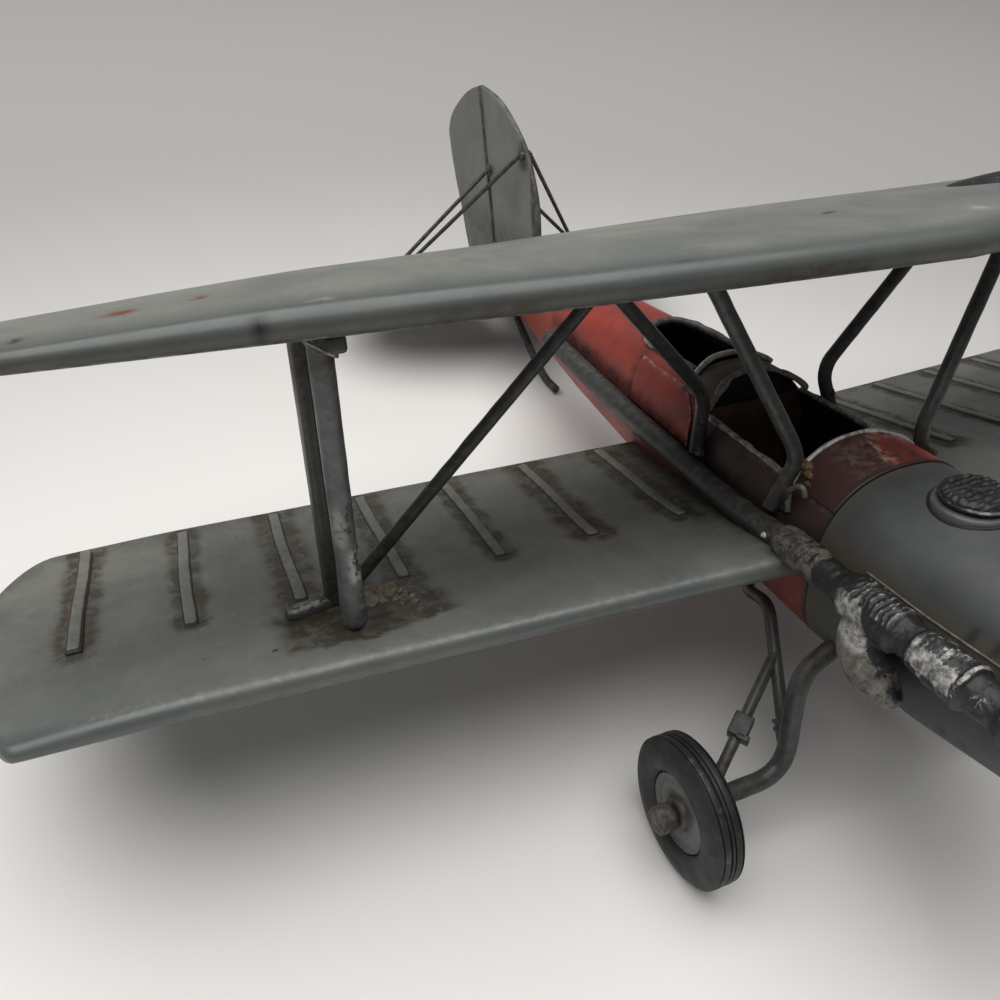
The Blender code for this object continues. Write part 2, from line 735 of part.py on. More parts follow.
def make_wheel(side):
    sign = SIDES[side]
    hub = axle_point(sign * AXLE[0])
    half = TYRE_WIDTH / 2
    rim = HUB_RADIUS + GAP
    outer = TYRE_RADIUS
    crown = [(rim, half - 1.6), (rim + 1.0, half - 0.5), (rim + 2.6, half), (outer - 3.6, half - 0.1),
             (outer - 1.4, half - 1.0), (outer - 0.4, half - 2.4), (outer, half - 4.0)]
    tyre = crown + [(r, -z) for r, z in reversed(crown)]
    ring = turned("tyre_" + side, tyre + [tyre[0]], "X", hub, "tyre_rubber", 40)
    ring.location = hub
    bore = AXLE_PIN_RADIUS + 0.4
    disc = [(bore, half - 1.3), (4.2, half - 1.3), (4.6, half - 1.9), (HUB_RADIUS - 1.0, half - 1.9),
            (HUB_RADIUS, half - 2.4), (HUB_RADIUS, -half + 1.9), (bore, -half + 1.9)]
    wheel = turned("wheel_disc_" + side, disc + [disc[0]], "X", hub, "grey_paint", 40)
    start = -half - 1.3
    pin = AXLE_PIN_RADIUS
    profile = [(0, half + 5.8), (3.0, half + 5.6), (3.8, half + 4.8), (3.8, half + 0.4), (pin, half + 0.2),
               (pin, start), (0, start)]
    axle = turned("axle_" + side, profile, "X", hub, "solder", 24)
    if sign < 0:
        for piece in (wheel, axle):
            piece.rotation_euler.y = -math.pi / 2


def make_skid(clearance):
    y, z = SKID_FOOT
    path = [point(0, 138, 1.2), point(0, 130, -7), point(0, 112, -19), point(0, y + 4, z + 2.2),
            point(0, y - 6, z + 1.8)]
    tube("tail_skid", rounded_path(path, 5 * MM, 3), 1.6 * MM, "dark_grey", [clearance],
         resolution=3)


# Tail

def hinge_y(z):
    return HINGE_FOOT[0] + (z - HINGE_FOOT[1]) * HINGE_RAKE


def make_tail(clearance):
    upright = (math.pi / 2, 0, math.pi / 2)
    crown = smooth_points([(108, 20), (109, 33.3), (111.5, 48.4), (121.6, 65.1), (137.6, 75.8),
                           (150.4, 80.8), (hinge_y(83.1) - 0.25, 83.1)])
    fin = crown + [(hinge_y(10) - 0.25, 10), (112, 10)]
    post = flat_plate("fin", fin, TAIL_THICKNESS, "grey_paint", upright)
    boolean(post, clearance)
    back = smooth_points([(hinge_y(83.1) + 0.25, 83.1), (181.9, 78.6), (198.2, 69), (203.9, 61.5),
                          (203.6, 55.1), (198.3, 40.4), (191.8, 28.1), (184.2, 12.3), (177, 4),
                          (166, 0.5), (157.5, 2.5)])
    rudder = flat_plate("rudder", back + [(hinge_y(5) + 0.25, 5)], TAIL_THICKNESS, "grey_paint", upright)
    boolean(rudder, clearance)
    for side, sign in SIDES.items():
        front = smooth_points([(2, 108), (30, 114), (58, 124), (71, 134), (75.5, 149.7)])
        plane = [(sign * x, y) for x, y in front + [(2, 149.7)]]
        fixed = flat_plate("tailplane_" + side, plane, TAIL_THICKNESS, "grey_paint", (0, 0, 0),
                           point(0, 0, TAILPLANE_Z))
        boolean(fixed, clearance)
        rear = smooth_points([(75.5, 150.2), (71, 163), (56, 173), (34, 177), (14, 173), (6.5, 164)])
        flap = [(sign * x, y) for x, y in rear + [(5.5, 150.2)]]
        flat_plate("elevator_" + side, flap, TAIL_THICKNESS, "grey_paint", (0, 0, 0),
                   point(0, 0, TAILPLANE_Z))
        top = TAILPLANE_Z + (TAIL_THICKNESS / MM) / 2 + STAY_RADIUS + GAP
        for place, start, end in (("rear", REAR_STAY_HEAD, REAR_STAY_FOOT),
                                  ("front", FRONT_STAY_HEAD, FRONT_STAY_FOOT)):
            tube(f"tail_stay_{place}_{side}",
                 [point(sign * STAY_HEAD_X, *start), point(sign * end[0], end[1], top)],
                 STAY_RADIUS * MM, "dark_grey")


# Propeller

def blade_section(height, chord, thickness, pitch):
    ring = []
    for i in range(10):
        angle = 2 * math.pi * i / 10
        flat = Vector((chord / 2 * math.cos(angle), thickness / 2 * math.sin(angle), 0))
        turned_flat = Matrix.Rotation(pitch, 3, "Z") @ flat
        ring.append((turned_flat + Vector((0, 0, height))) * MM)
    return ring


def make_propeller():
    hub = point(0, PROP_Y, PROP_Z)
    levels = [0.0, 0.13, 0.3, 0.5, 0.7, 0.87, 0.96, 1.0]
    chords = [8.0, 8.0, 10.5, 12.5, 12.0, 9.5, 6.0, 2.5]
    rings = []
    for sign in (-1, 1):
        order = list(zip(levels, chords))
        if sign < 0:
            order = order[:0:-1]
        for level, chord in order:
            pitch = sign * math.radians(52 - 34 * level) if level > 0.05 else 0.0
            rings.append(blade_section(sign * level * PROP_RADIUS, chord, 4.2 - 2.6 * level, pitch))
    prop = add_object("propeller", loft("propeller", rings), "dark_grey")
    prop.location = hub
    boss = add_cutter("propeller_boss", cylinder_mesh(
        "propeller_boss", 7.5, 8.0, Matrix.Rotation(math.pi / 2, 4, "X")))
    boss.location = hub
    boolean(prop, boss, "UNION")
    turned("spinner", [(0, 16.5), (2.2, 16.0), (4.6, 13.6), (6.4, 9.8), (7.2, 5.6), (7.3, 4.3), (0, 4.3)],
           "Y", hub, "brushed_black", 28)
    turned("propeller_shaft", [(0, -4.3), (SHAFT_RADIUS, -4.3), (SHAFT_RADIUS, -20), (0, -20)],
           "Y", hub, "solder", 24)


def make_wing_tank(clearance):
    """The low black tank on the port half of the upper wing."""
    bm = bmesh.new()
    bmesh.ops.create_uvsphere(bm, u_segments=32, v_segments=20, radius=1.0)
    bmesh.ops.scale(bm, verts=bm.verts, vec=point(*TANK_SIZE))
    tank = add_object("wing_tank", mesh_from(bm, "wing_tank"), "brushed_black")
    tank.matrix_local = (Matrix.Rotation(-INCIDENCE, 4, "X")
                         @ Matrix.Translation(point(*TANK_CENTRE)))
    boolean(tank, clearance)


def stand_on_ground():
    """Turn the model nose up onto its wheels and skid, and centre it over the origin."""
    axle = axle_point(0)
    foot = point(0, *SKID_FOOT)
    away = foot - axle
    radius = TYRE_RADIUS * MM
    pitch = math.atan2(away.z, away.y) + math.asin(radius / away.length)
    STANCE.rotation_euler.x = -pitch
    turn = Matrix.Rotation(-pitch, 3, "X")
    STANCE.location.z = radius - (turn @ axle).z
    bpy.context.view_layer.update()
    graph = bpy.context.evaluated_depsgraph_get()
    ends = []
    for thing in MODEL.objects:
        if thing.type in {"MESH", "CURVE"}:
            ready = thing.evaluated_get(graph)
            ends += [(ready.matrix_world @ vert.co).y for vert in ready.to_mesh().vertices]
            ready.to_mesh_clear()
    STANCE.location.y = -(min(ends) + max(ends)) / 2


def main():
    clearance = add_cutter("body_clearance", body_mesh(
        "body_clearance", NOSE_Y + 2, TAIL_POST_Y + GAP, GAP))
    above = upper_clearance()
    make_body()
    make_cockpit_trim()
    make_filler_cap(clearance)
    make_upper_wing()
    make_wing_tank(above)
    for side in SIDES:
        exhaust = exhaust_clearances(side)
        make_lower_wing(side, [clearance, *exhaust])
        make_interplane(side, [above, lower_clearance(side)])
        make_cabane(side, [above, clearance, exhaust[0]])
        make_exhaust(side, clearance)
        make_gear(side, clearance)
        make_wheel(side)
    make_skid(clearance)
    make_tail(clearance)
    make_propeller()
    stand_on_ground()


main()
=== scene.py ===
"""Looks of a handmade tinplate biplane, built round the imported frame.

Lengths are in millimetres in two sets of axes, as on the model itself: body axes lie
along the fuselage, wing axes are turned from them by the wing incidence. Both are
found from the propeller's joint, so everything lands on the frame without fitting.
"""

import json
import math

import bmesh
import bpy
from mathutils import Matrix, Vector, noise


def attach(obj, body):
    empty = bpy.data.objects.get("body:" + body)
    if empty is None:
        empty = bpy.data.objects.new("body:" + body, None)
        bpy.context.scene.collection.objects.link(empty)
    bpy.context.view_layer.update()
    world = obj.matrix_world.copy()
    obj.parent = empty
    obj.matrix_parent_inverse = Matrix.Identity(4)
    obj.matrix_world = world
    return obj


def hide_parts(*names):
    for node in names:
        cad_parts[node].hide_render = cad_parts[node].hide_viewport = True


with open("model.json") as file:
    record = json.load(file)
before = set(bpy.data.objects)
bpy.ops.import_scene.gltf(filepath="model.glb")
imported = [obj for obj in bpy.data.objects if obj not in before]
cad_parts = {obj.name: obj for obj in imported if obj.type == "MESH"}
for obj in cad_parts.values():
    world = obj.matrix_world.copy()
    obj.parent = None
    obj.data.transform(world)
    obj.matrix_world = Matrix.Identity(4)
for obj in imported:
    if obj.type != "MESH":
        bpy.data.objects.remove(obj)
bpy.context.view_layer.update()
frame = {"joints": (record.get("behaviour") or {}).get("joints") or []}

MM = 0.001
SIDES = {"starboard": -1, "port": 1}

# Body and wing axes, from the propeller's hub and axis
PROP_Y = -180.0
PROP_Z = 8.0
INCIDENCE = math.radians(7.5)
JOINTS = {joint["name"]: joint for joint in frame["joints"]}
HUB = Vector(JOINTS["propeller_spin"]["pos_m"])
AHEAD = Vector(JOINTS["propeller_spin"]["axis"])
STANCE = math.atan2(AHEAD.z, -AHEAD.y)
BODY = (Matrix.Translation(HUB) @ Matrix.Rotation(-STANCE, 4, "X")
        @ Matrix.Translation(Vector((0, -PROP_Y, -PROP_Z)) * MM))
WING = BODY @ Matrix.Rotation(-INCIDENCE, 4, "X")
BODY_TURN = BODY.to_3x3().to_4x4()
FORWARD = Matrix.Rotation(math.pi / 2, 4, "X")  # turns local Z to point ahead
TO_BODY = BODY.inverted()
TO_WING = WING.inverted()

# Camera, in wing axes; the focal length is in pixels of a 1000 pixel wide frame
CAMERA_PLACE = (-162.2, -240.9, 110.2)
CAMERA_YAW = 0.380
CAMERA_PITCH = 0.431
CAMERA_ROLL = -0.068
CAMERA_FOCAL = 938.7
FRAME_WIDTH = 1000.0
SENSOR = 36.0

# Body stations: aft position, half width, bottom, top, squareness
BODY_STATIONS = [
    (-170.0, 15.5, -8.0, 24.0, 2.1),
    (-160.0, 18.5, -11.0, 27.5, 2.3),
    (-145.0, 21.5, -14.0, 30.5, 2.5),
    (-120.0, 23.3, -15.8, 31.8, 3.0),
    (-88.0, 23.5, -16.0, 32.0, 3.0),
    (-50.0, 22.5, -14.5, 31.6, 3.0),
    (0.0, 20.0, -11.5, 31.0, 2.9),
    (50.0, 16.0, -8.0, 29.3, 2.7),
    (100.0, 10.5, -3.5, 26.0, 2.4),
    (140.0, 5.5, 0.5, 22.0, 2.2),
    (156.0, 3.0, 3.5, 20.0, 2.0),
]
TOP_SQUARENESS = 2.4
NOSE_Y = -170.0
COWL_JOINT_Y = -88.0
TAIL_POST_Y = 156.0
SKIN = 1.3
FRONT_OPENING_Y = (-73.0, -28.3)
FRONT_CAVITY_Y = (-84.0, -29.8)
FRONT_SILL_Z = 23.7
REAR_OPENING_Y = (-17.5, 6.0)
REAR_OPENING_HALF = 11.0
REAR_CAVITY_Y = (-16.5, 27.0)
CAP_Y = -107.0
SEAM_Z = 18.2
PANEL_LOW_Z = 14.2
PANEL_HEIGHT = 12.2
DECK_BACK_Y = -18.9

# Wings; an edge is its Y at the middle, its slope and its curve
LOWER_LEAD = (-90.0, 0.09, 0.0)
LOWER_TRAIL = (0.0, 0.08, 0.0)
LEAD_ROUND_X = 197.0
LEAD_ROUNDING = 0.32
TRAIL_ROUND_X = 189.0
TRAIL_ROUNDING = 0.075
LOWER_BOTTOM_Z = -3.3
LOWER_DROOP = 0.0088
LOWER_ROOT_X = 20.0
LOWER_NOSE = 6.0
LOWER_TOP = [(0.12, 5.9), (0.25, 4.9), (0.4, 3.9), (0.55, 3.4), (0.8, 3.3), (1.0, 3.3)]
LOWER_UNDER = [(1.0, 2.1), (0.74, 0.0)]
LOWER_TIP_X = 205.4
RIB_FIRST_X = 32.6
RIB_PITCH = 25.0
RIB_COUNT = 7
RIB_LENGTH = 52.5
RIB_WIDTH = 2.7
RIB_START = 3.0
RIB_LEAN = 0.066
UPPER_LEAD = (-103.5, 0.11, 0.00033)
UPPER_TRAIL = (-10.0, -0.03, -0.0003)
UPPER_ROUND_X = 178.0
UPPER_TIP_X = 214.0
UPPER_TIP_Y = -50.0
UPPER_BOTTOM_Z = 69.3
UPPER_NOSE = 6.8
UPPER_TOP = [(0.1, 6.9), (0.2, 7.4), (0.35, 7.6), (0.45, 7.2), (0.6, 6.0), (0.75, 3.9),
             (0.9, 1.6), (1.0, 0.2)]
UPPER_UNDER = [(1.0, -1.2), (0.65, 0.0)]
TANK_CENTRE = (82.0, -60.0, 74.4)
TANK_SIZE = (50.0, 12.0, 4.2)

# Struts between the wings: X and Y of their ends, on the starboard side
FRONT_FOOT = (128.0, -65.5)
FRONT_HEAD = (129.35, -77.2)
REAR_FOOT = (129.4, -50.4)
REAR_HEAD = (131.15, -64.6)
BRACE_FOOT = (122.3, -43.25)
BRACE_HEAD = (59.8, -62.3)
FRONT_STRUT_RADIUS = 2.42

# Exhaust, gear and tail
PIPE_RADIUS = 3.3
PIPE_Z = 12.5
PIPE_AFT_Y = 62.0
PIPE_RISE_Y = -60.0
PIPE_RISE = 0.09
MANIFOLD_Z = 16.0
MANIFOLD_RADIUS = 5.2
RIDGE_RATE = 4.1
CAST_VOXEL = 0.34
AXLE = (61.0, -95.4, -54.1)
TYRE_RADIUS = 18.5
TYRE_WIDTH = 9.0
HUB_RADIUS = 10.0
AXLE_PIN_RADIUS = 1.5
SKID_FOOT = (98.0, -26.0)
TAIL_THICKNESS = 2.2
HINGE_RAKE = 0.227
HINGE_FOOT = (152.0, 21.8)
TAILPLANE_Z = 11.0
PROP_RADIUS = 58.0

# Studio, in metres and watts; each lamp has its place, width, power and colour
FLOOR_HALF = 6.0
LIT_PLACE = (-0.12, -0.22, 0.0)
LAMPS = [("key", (-0.22, 0.14, 1.5), 2.2, 36.5, (1.0, 0.985, 0.96)),
         ("fill", (-0.9, -1.1, 0.8), 0.4, 0.2, (0.93, 0.97, 1.0))]


def body_point(x, y, z):
    return BODY @ (Vector((x, y, z)) * MM)


def wing_point(x, y, z):
    return WING @ (Vector((x, y, z)) * MM)


def shift(x, y, z):
    return Matrix.Translation(Vector((x, y, z)) * MM)


def in_body(place):
    return (TO_BODY @ place) / MM


def in_wing(place):
    return (TO_WING @ place) / MM


def smooth_step(value, low, high):
    share = min(1.0, max(0.0, (value - low) / (high - low)))
    return share * share * (3 - 2 * share)


def fade(value, low, high):
    """One up to low, falling to nothing at high."""
    return 1 - smooth_step(value, low, high)


def within(value, low, high, soft):
    """One between low and high, falling to nothing over soft on each side."""
    rise = smooth_step(value, low - soft / 2, low + soft / 2)
    return rise * (1 - smooth_step(value, high - soft / 2, high + soft / 2))


def rough(place, size, seed=0):
    """Smooth noise from about -1 to 1 with features of a size in millimetres."""
    return noise.noise(place * (1 / (size * MM)) + Vector((seed * 17.3, seed * 5.1, seed * 9.7)))


# Materials

class Paint:
    """A Principled material with small helpers for its nodes."""

    def __init__(self, name, metallic=0.0):
        self.material = bpy.data.materials.new(name)
        self.material.use_nodes = True
        self.tree = self.material.node_tree
        self.shader = self.tree.nodes["Principled BSDF"]
        self.shader.inputs["Metallic"].default_value = metallic
        self.coords = self.node("ShaderNodeTexCoord").outputs["Object"]

    def feed(self, socket, value):
        if isinstance(value, bpy.types.NodeSocket):
            self.tree.links.new(value, socket)
        elif isinstance(value, tuple) and socket.type == "RGBA":
            socket.default_value = (*value, 1.0)
        else:
            socket.default_value = value

    def node(self, kind, inputs=None, **settings):
        """A new node with its settings made and its inputs fed."""
        node = self.tree.nodes.new(kind)
        for name, value in settings.items():
            setattr(node, name, value)
        for name, value in (inputs or {}).items():
            self.feed(node.inputs[name], value)
        return node

    def noise(self, size, detail=4.0, roughness=0.55, distortion=0.0, stretch=(1, 1, 1)):
        """Noise whose features are about size millimetres across."""
        scale = [s / (size * MM) for s in stretch]
        mapping = self.node("ShaderNodeMapping", {"Vector": self.coords, "Scale": scale})
        return self.node("ShaderNodeTexNoise", {
            "Vector": mapping.outputs["Vector"], "Scale": 1.0, "Detail": detail, "Roughness": roughness,
            "Distortion": distortion}).outputs["Fac"]

    def span(self, value, low, high, first=0.0, last=1.0):
        """A value's range from low to high taken smoothly to the range from first to last."""
        return self.node("ShaderNodeMapRange", {
            "Value": value, "From Min": low, "From Max": high, "To Min": first, "To Max": last},
            interpolation_type="SMOOTHSTEP").outputs["Result"]

    def math(self, operation, first, second):
        both = {0: first, 1: second}
        return self.node("ShaderNodeMath", both, operation=operation, use_clamp=True).outputs[0]

    def mix(self, share, first, second):
        inputs = {"Factor": share, "A": first, "B": second}
        return self.node("ShaderNodeMix", inputs, data_type="RGBA").outputs["Result"]

    def attribute(self, name):
        return self.node("ShaderNodeAttribute", attribute_name=name).outputs["Fac"]

    def bump(self, height, strength, depth, under=None):
        """Relief of a depth in millimetres, over another relief."""
        inputs = {"Strength": strength, "Distance": depth * MM, "Height": height}
        if under:
            inputs["Normal"] = under
        return self.node("ShaderNodeBump", inputs).outputs["Normal"]

    def patchy(self, name, size, detail, low, high):
        """A marked place, broken up by noise."""
        cover = self.attribute(name)
        return self.math("MULTIPLY", cover, self.span(self.noise(size, detail, 0.7), low, high))

    def finish(self, colour, roughness, normal=None):
        self.feed(self.shader.inputs["Base Color"], colour)
        self.feed(self.shader.inputs["Roughness"], roughness)
        if normal:
            self.feed(self.shader.inputs["Normal"], normal)
        return self.material


def weathered(name, light, dark, wash, gloss, wear_colour=(0.3, 0.3, 0.285), metallic=0.0, clouds=34,
              stroke=0.3):
    """Hand-brushed paint: two tones, brown wash in the corners, worn edges and chips, with painted shade
    from the nose mark and, on some pieces, painted shade and highlights in the wash and wear marks.
    """
    paint = Paint(name, metallic)
    cloudy = paint.span(paint.noise(clouds, 5, 0.6, 0.4), 0.32, 0.7)
    colour = paint.mix(cloudy, dark, light)
    streaks = paint.span(paint.noise(9, 6, 0.65, 0.8, (1, 0.45, 1)), 0.5, 0.75, 0.0, stroke)
    colour = paint.mix(streaks, colour, tuple(c * 1.3 for c in light))
    # Painted shade: where the nose mark is set, the colour goes to a darker, bluer copy of the dark tone,
    # for leading faces turned from the light.
    nose = tuple(c * s for c, s in zip(dark, (0.42, 0.48, 0.5)))
    colour = paint.mix(paint.attribute("nose"), colour, nose)
    # The grime mark darkens towards the wash colour; on some pieces it is painted shade as well as dirt.
    grime_and_shade = paint.attribute("grime_and_shade")
    blotch = paint.span(paint.noise(5, 7, 0.7, 0.6), 0.28, 0.7, 0.4, 1.25)
    grime_and_shade = paint.math("MULTIPLY", grime_and_shade, blotch)
    colour = paint.mix(grime_and_shade, colour, wash)
    # The wear mark lightens towards the wear colour; on some pieces it is a painted highlight as well as
    # wear.
    colour = paint.mix(paint.patchy("wear_and_highlight", 2.2, 6, 0.42, 0.62), colour, wear_colour)
    colour = paint.mix(paint.patchy("pale", 1.6, 6, 0.36, 0.56), colour, (0.62, 0.61, 0.57))
    specks = paint.span(paint.noise(2.6, 3, 0.5, 0.3), 0.755, 0.775)
    colour = paint.mix(specks, colour, tuple(c * 0.25 for c in dark))
    colour = paint.mix(paint.patchy("chip", 2.4, 5, 0.3, 0.45), colour, (0.16, 0.045, 0.026))
    # The nick mark goes near black; on the exhaust pipe it is painted shade.
    colour = paint.mix(paint.patchy("nick_and_shade", 1.4, 5, 0.3, 0.45), colour, (0.018, 0.016, 0.014))
    shine = paint.span(paint.noise(12, 6, 0.65), 0.3, 0.7, gloss - 0.06, gloss + 0.08)
    shine = paint.math("ADD", shine, paint.math("MULTIPLY", grime_and_shade, 0.22))
    skin = paint.bump(paint.noise(0.9, 5, 0.6), 0.14, 0.1)
    skin = paint.bump(paint.noise(4.5, 4, 0.55), 0.16, 0.3, skin)
    return paint.finish(colour, shine, skin)


def drybrushed(name):
    """Black paint over rough metal, with silver dragged over the high spots in short strokes."""
    paint = Paint(name)
    strokes = paint.noise(1.7, 7, 0.7, 0.9, (0.7, 1.7, 0.7))
    grain = paint.noise(0.75, 6, 0.75, 0.4)
    silver = paint.attribute("silver")
    height = paint.math("ADD", paint.math("MULTIPLY", strokes, 0.6), paint.math("MULTIPLY", grain, 0.4))
    cover = paint.math("ADD", height, paint.math("MULTIPLY", silver, 0.36))
    cover = paint.span(cover, 0.66, 0.75)

    def mottled(size, detail, roughness, low, high, first, last):
        return paint.mix(paint.span(paint.noise(size, detail, roughness), low, high), first, last)

    black = mottled(7, 4, 0.55, 0.35, 0.7, (0.006, 0.006, 0.007), (0.016, 0.016, 0.018))
    grey = mottled(2.2, 6, 0.7, 0.38, 0.66, (0.1, 0.099, 0.092), (0.5, 0.49, 0.46))
    tan = mottled(3.2, 5, 0.7, 0.4, 0.6, (0.06, 0.055, 0.046), (0.145, 0.132, 0.108))
    grey = paint.mix(paint.attribute("tan"), grey, tan)
    colour = paint.mix(cover, black, grey)
    pits = paint.span(paint.noise(1.1, 5, 0.65), 0.3, 0.36)
    colour = paint.mix(pits, (0.012, 0.011, 0.01), colour)
    colour = paint.mix(paint.attribute("groove"), colour, (0.009, 0.008, 0.008))
    paint.feed(paint.shader.inputs["Metallic"], paint.math("MULTIPLY", cover, 0.3))
    shine = paint.span(cover, 0.0, 1.0, 0.42, 0.52)
    skin = paint.bump(height, 0.55, 0.45)
    return paint.finish(colour, shine, skin)


def rubber(name):
    """Black satin tyre with brown dust by the rim and scuffs on its shoulders."""
    paint = Paint(name)
    dust = paint.span(paint.noise(6, 6, 0.7, 0.5), 0.45, 0.75, 0.0, 0.3)
    dust = paint.math("ADD", dust, paint.math("MULTIPLY", paint.attribute("grime_and_shade"), 0.5))
    colour = paint.mix(dust, (0.0085, 0.0085, 0.0093), (0.035, 0.028, 0.023))
    colour = paint.mix(paint.patchy("wear_and_highlight", 2.6, 6, 0.5, 0.66), colour, (0.1, 0.094, 0.088))
    shine = paint.span(paint.noise(4, 5), 0.3, 0.7, 0.5, 0.66)
    skin = paint.bump(paint.noise(0.8, 5, 0.6), 0.25, 0.15)
    return paint.finish(colour, shine, skin)


def soldered(name, low=(0.03, 0.027, 0.023), high=(0.125, 0.112, 0.092)):
    """Lumpy solder and old glue, brown-grey with bright high spots."""
    paint = Paint(name, metallic=0.2)
    tone = paint.span(paint.noise(2.0, 6, 0.7), 0.32, 0.68)
    colour = paint.mix(tone, low, high)
    bright = paint.span(paint.noise(1.1, 6, 0.7), 0.62, 0.74)
    colour = paint.mix(bright, colour, tuple(c * 2.2 for c in high))
    skin = paint.bump(paint.noise(0.8, 6, 0.7), 0.6, 0.4)
    return paint.finish(colour, paint.span(tone, 0, 1, 0.65, 0.5), skin)


def hollow_paint(name, low, high):
    """The unlit inside of a cockpit."""
    paint = Paint(name)
    colour = paint.mix(paint.span(paint.noise(11, 5), 0.35, 0.7), low, high)
    return paint.finish(colour, paint.span(paint.noise(5, 4), 0.3, 0.7, 0.6, 0.8),
                        paint.bump(paint.noise(2, 5), 0.3, 0.3))


# Brown wash colour; on the wings it is also the colour of painted shade.
BROWN_WASH_AND_SHADE = (0.05, 0.039, 0.024)
GREY = weathered("grey_paint_worn", (0.062, 0.07, 0.07), (0.036, 0.041, 0.042), (0.07, 0.056, 0.034), 0.56)
WING_GREY = weathered("wing_paint_worn", (0.205, 0.21, 0.185), (0.14, 0.152, 0.143), BROWN_WASH_AND_SHADE, 0.34)
TAIL_GREY = weathered("tail_paint_worn", (0.178, 0.184, 0.174), (0.136, 0.14, 0.132),
                      (0.048, 0.046, 0.038), 0.45)
DARK = weathered("dark_paint_worn", (0.036, 0.037, 0.037), (0.02, 0.021, 0.021), (0.022, 0.018, 0.013),
                 0.42, (0.12, 0.118, 0.11))
PIPE = weathered("pipe_paint_worn", (0.038, 0.038, 0.036), (0.02, 0.021, 0.021), (0.03, 0.025, 0.019),
                 0.45, (0.14, 0.135, 0.12))
STRUT = weathered("strut_paint_worn", (0.09, 0.094, 0.096), (0.066, 0.069, 0.07), (0.036, 0.03, 0.023),
                  0.4, (0.2, 0.205, 0.2), stroke=0.1)
CABANE = weathered("cabane_paint_worn", (0.05, 0.05, 0.048), (0.034, 0.034, 0.033), (0.024, 0.02, 0.016),
                   0.4, (0.13, 0.13, 0.122), stroke=0.1)
RED = weathered("red_paint_worn", (0.34, 0.044, 0.026), (0.175, 0.026, 0.018), (0.035, 0.012, 0.01),
                0.48, (0.4, 0.22, 0.18))
# Painted shade: a darker maroon copy of the red, for red surfaces turned from the light.
SHADED_RED = weathered("red_paint_shaded", (0.085, 0.023, 0.02), (0.048, 0.016, 0.014),
                   (0.026, 0.014, 0.012), 0.5, (0.105, 0.07, 0.06))
TAN = weathered("tan_paint_worn", (0.2, 0.155, 0.115), (0.135, 0.104, 0.076), (0.05, 0.034, 0.025),
                0.6, (0.3, 0.26, 0.21))
RIM = weathered("rim_metal_worn", (0.2, 0.19, 0.17), (0.095, 0.086, 0.074), (0.04, 0.031, 0.023),
                0.4, (0.62, 0.61, 0.58), metallic=0.25, clouds=9)
SEAM = weathered("seam_paint_worn", (0.13, 0.113, 0.084), (0.08, 0.068, 0.048), BROWN_WASH_AND_SHADE,
                 0.5, (0.3, 0.28, 0.24))
BLACK = drybrushed("black_drybrushed")
TYRE = rubber("tyre_rubber_worn")
SOLDER = soldered("solder_lumps")
TAN_SOLDER = soldered("solder_tan", (0.085, 0.073, 0.05), (0.24, 0.205, 0.15))
AMBER = soldered("solder_flux", (0.05, 0.03, 0.014), (0.22, 0.13, 0.062))
HOLLOW = hollow_paint("body_inside", (0.006, 0.0045, 0.005), (0.014, 0.009, 0.009))
BULKHEAD = hollow_paint("bulkhead_paint", (0.07, 0.034, 0.025), (0.14, 0.07, 0.048))


# Mesh helpers

def linked(name, data):
    thing = bpy.data.objects.new(name, data)
    bpy.context.scene.collection.objects.link(thing)
    return thing


def piece(name, mesh, material, body="airframe", stands_for=(), marks=None, crease=40):
    """Put a finished mesh, given in the row frame, on its body, with its worn places, dirt and painted light
    marked.
    """
    thing = linked(name, mesh)
    if not mesh.materials:
        mesh.materials.append(material)
    mesh.shade_smooth()
    mesh.set_sharp_from_angle(angle=math.radians(crease))
    mark(mesh, marks or {})
    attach(thing, body)
    if stands_for:
        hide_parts(*stands_for)
    return thing


def mark(mesh, marks):
    """Point attributes, each a number or worked out from the place of the point."""
    for name, rule in marks.items():
        layer = mesh.attributes.new(name, "FLOAT", "POINT")
        for index, vert in enumerate(mesh.vertices):
            share = rule(vert.co) if callable(rule) else rule
            layer.data[index].value = min(1.0, max(0.0, share))


def thicken(thing, depth, offset):
    modifier = thing.modifiers.new("thicken", "SOLIDIFY")
    modifier.thickness = depth * MM
    modifier.offset = offset


def mesh_from(bm, name, matrix=None):
    bmesh.ops.recalc_face_normals(bm, faces=bm.faces)
    if matrix:
        bm.transform(matrix)
    mesh = bpy.data.meshes.new(name)
    bm.to_mesh(mesh)
    bm.free()
    return mesh


def bridge(bm, layers, closed=True):
    """Faces between neighbouring rows of points; a row of one point closes the next to a fan."""
    for first, second in zip(layers, layers[1:]):
        count = max(len(first), len(second))
        for i in range(count if closed else count - 1):
            j = (i + 1) % count
            corners = dict.fromkeys((first[i % len(first)], first[j % len(first)],
                                     second[j % len(second)], second[i % len(second)]))
            if len(corners) > 2:
                bm.faces.new(tuple(corners))


def sheet(name, rows, matrix=None):
    """An open skin through rows of points in metres."""
    bm = bmesh.new()
    bridge(bm, [[bm.verts.new(p) for p in row] for row in rows], closed=False)
    return mesh_from(bm, name, matrix)


def loft(name, rings, matrix):
    """A closed skin through rings of equal numbers of points, in millimetres of matrix's axes."""
    bm = bmesh.new()
    layers = [[bm.verts.new(Vector(p) * MM) for p in ring] for ring in rings]
    bridge(bm, layers)
    bm.faces.new(layers[0])
    bm.faces.new(layers[-1])
    return mesh_from(bm, name, matrix)


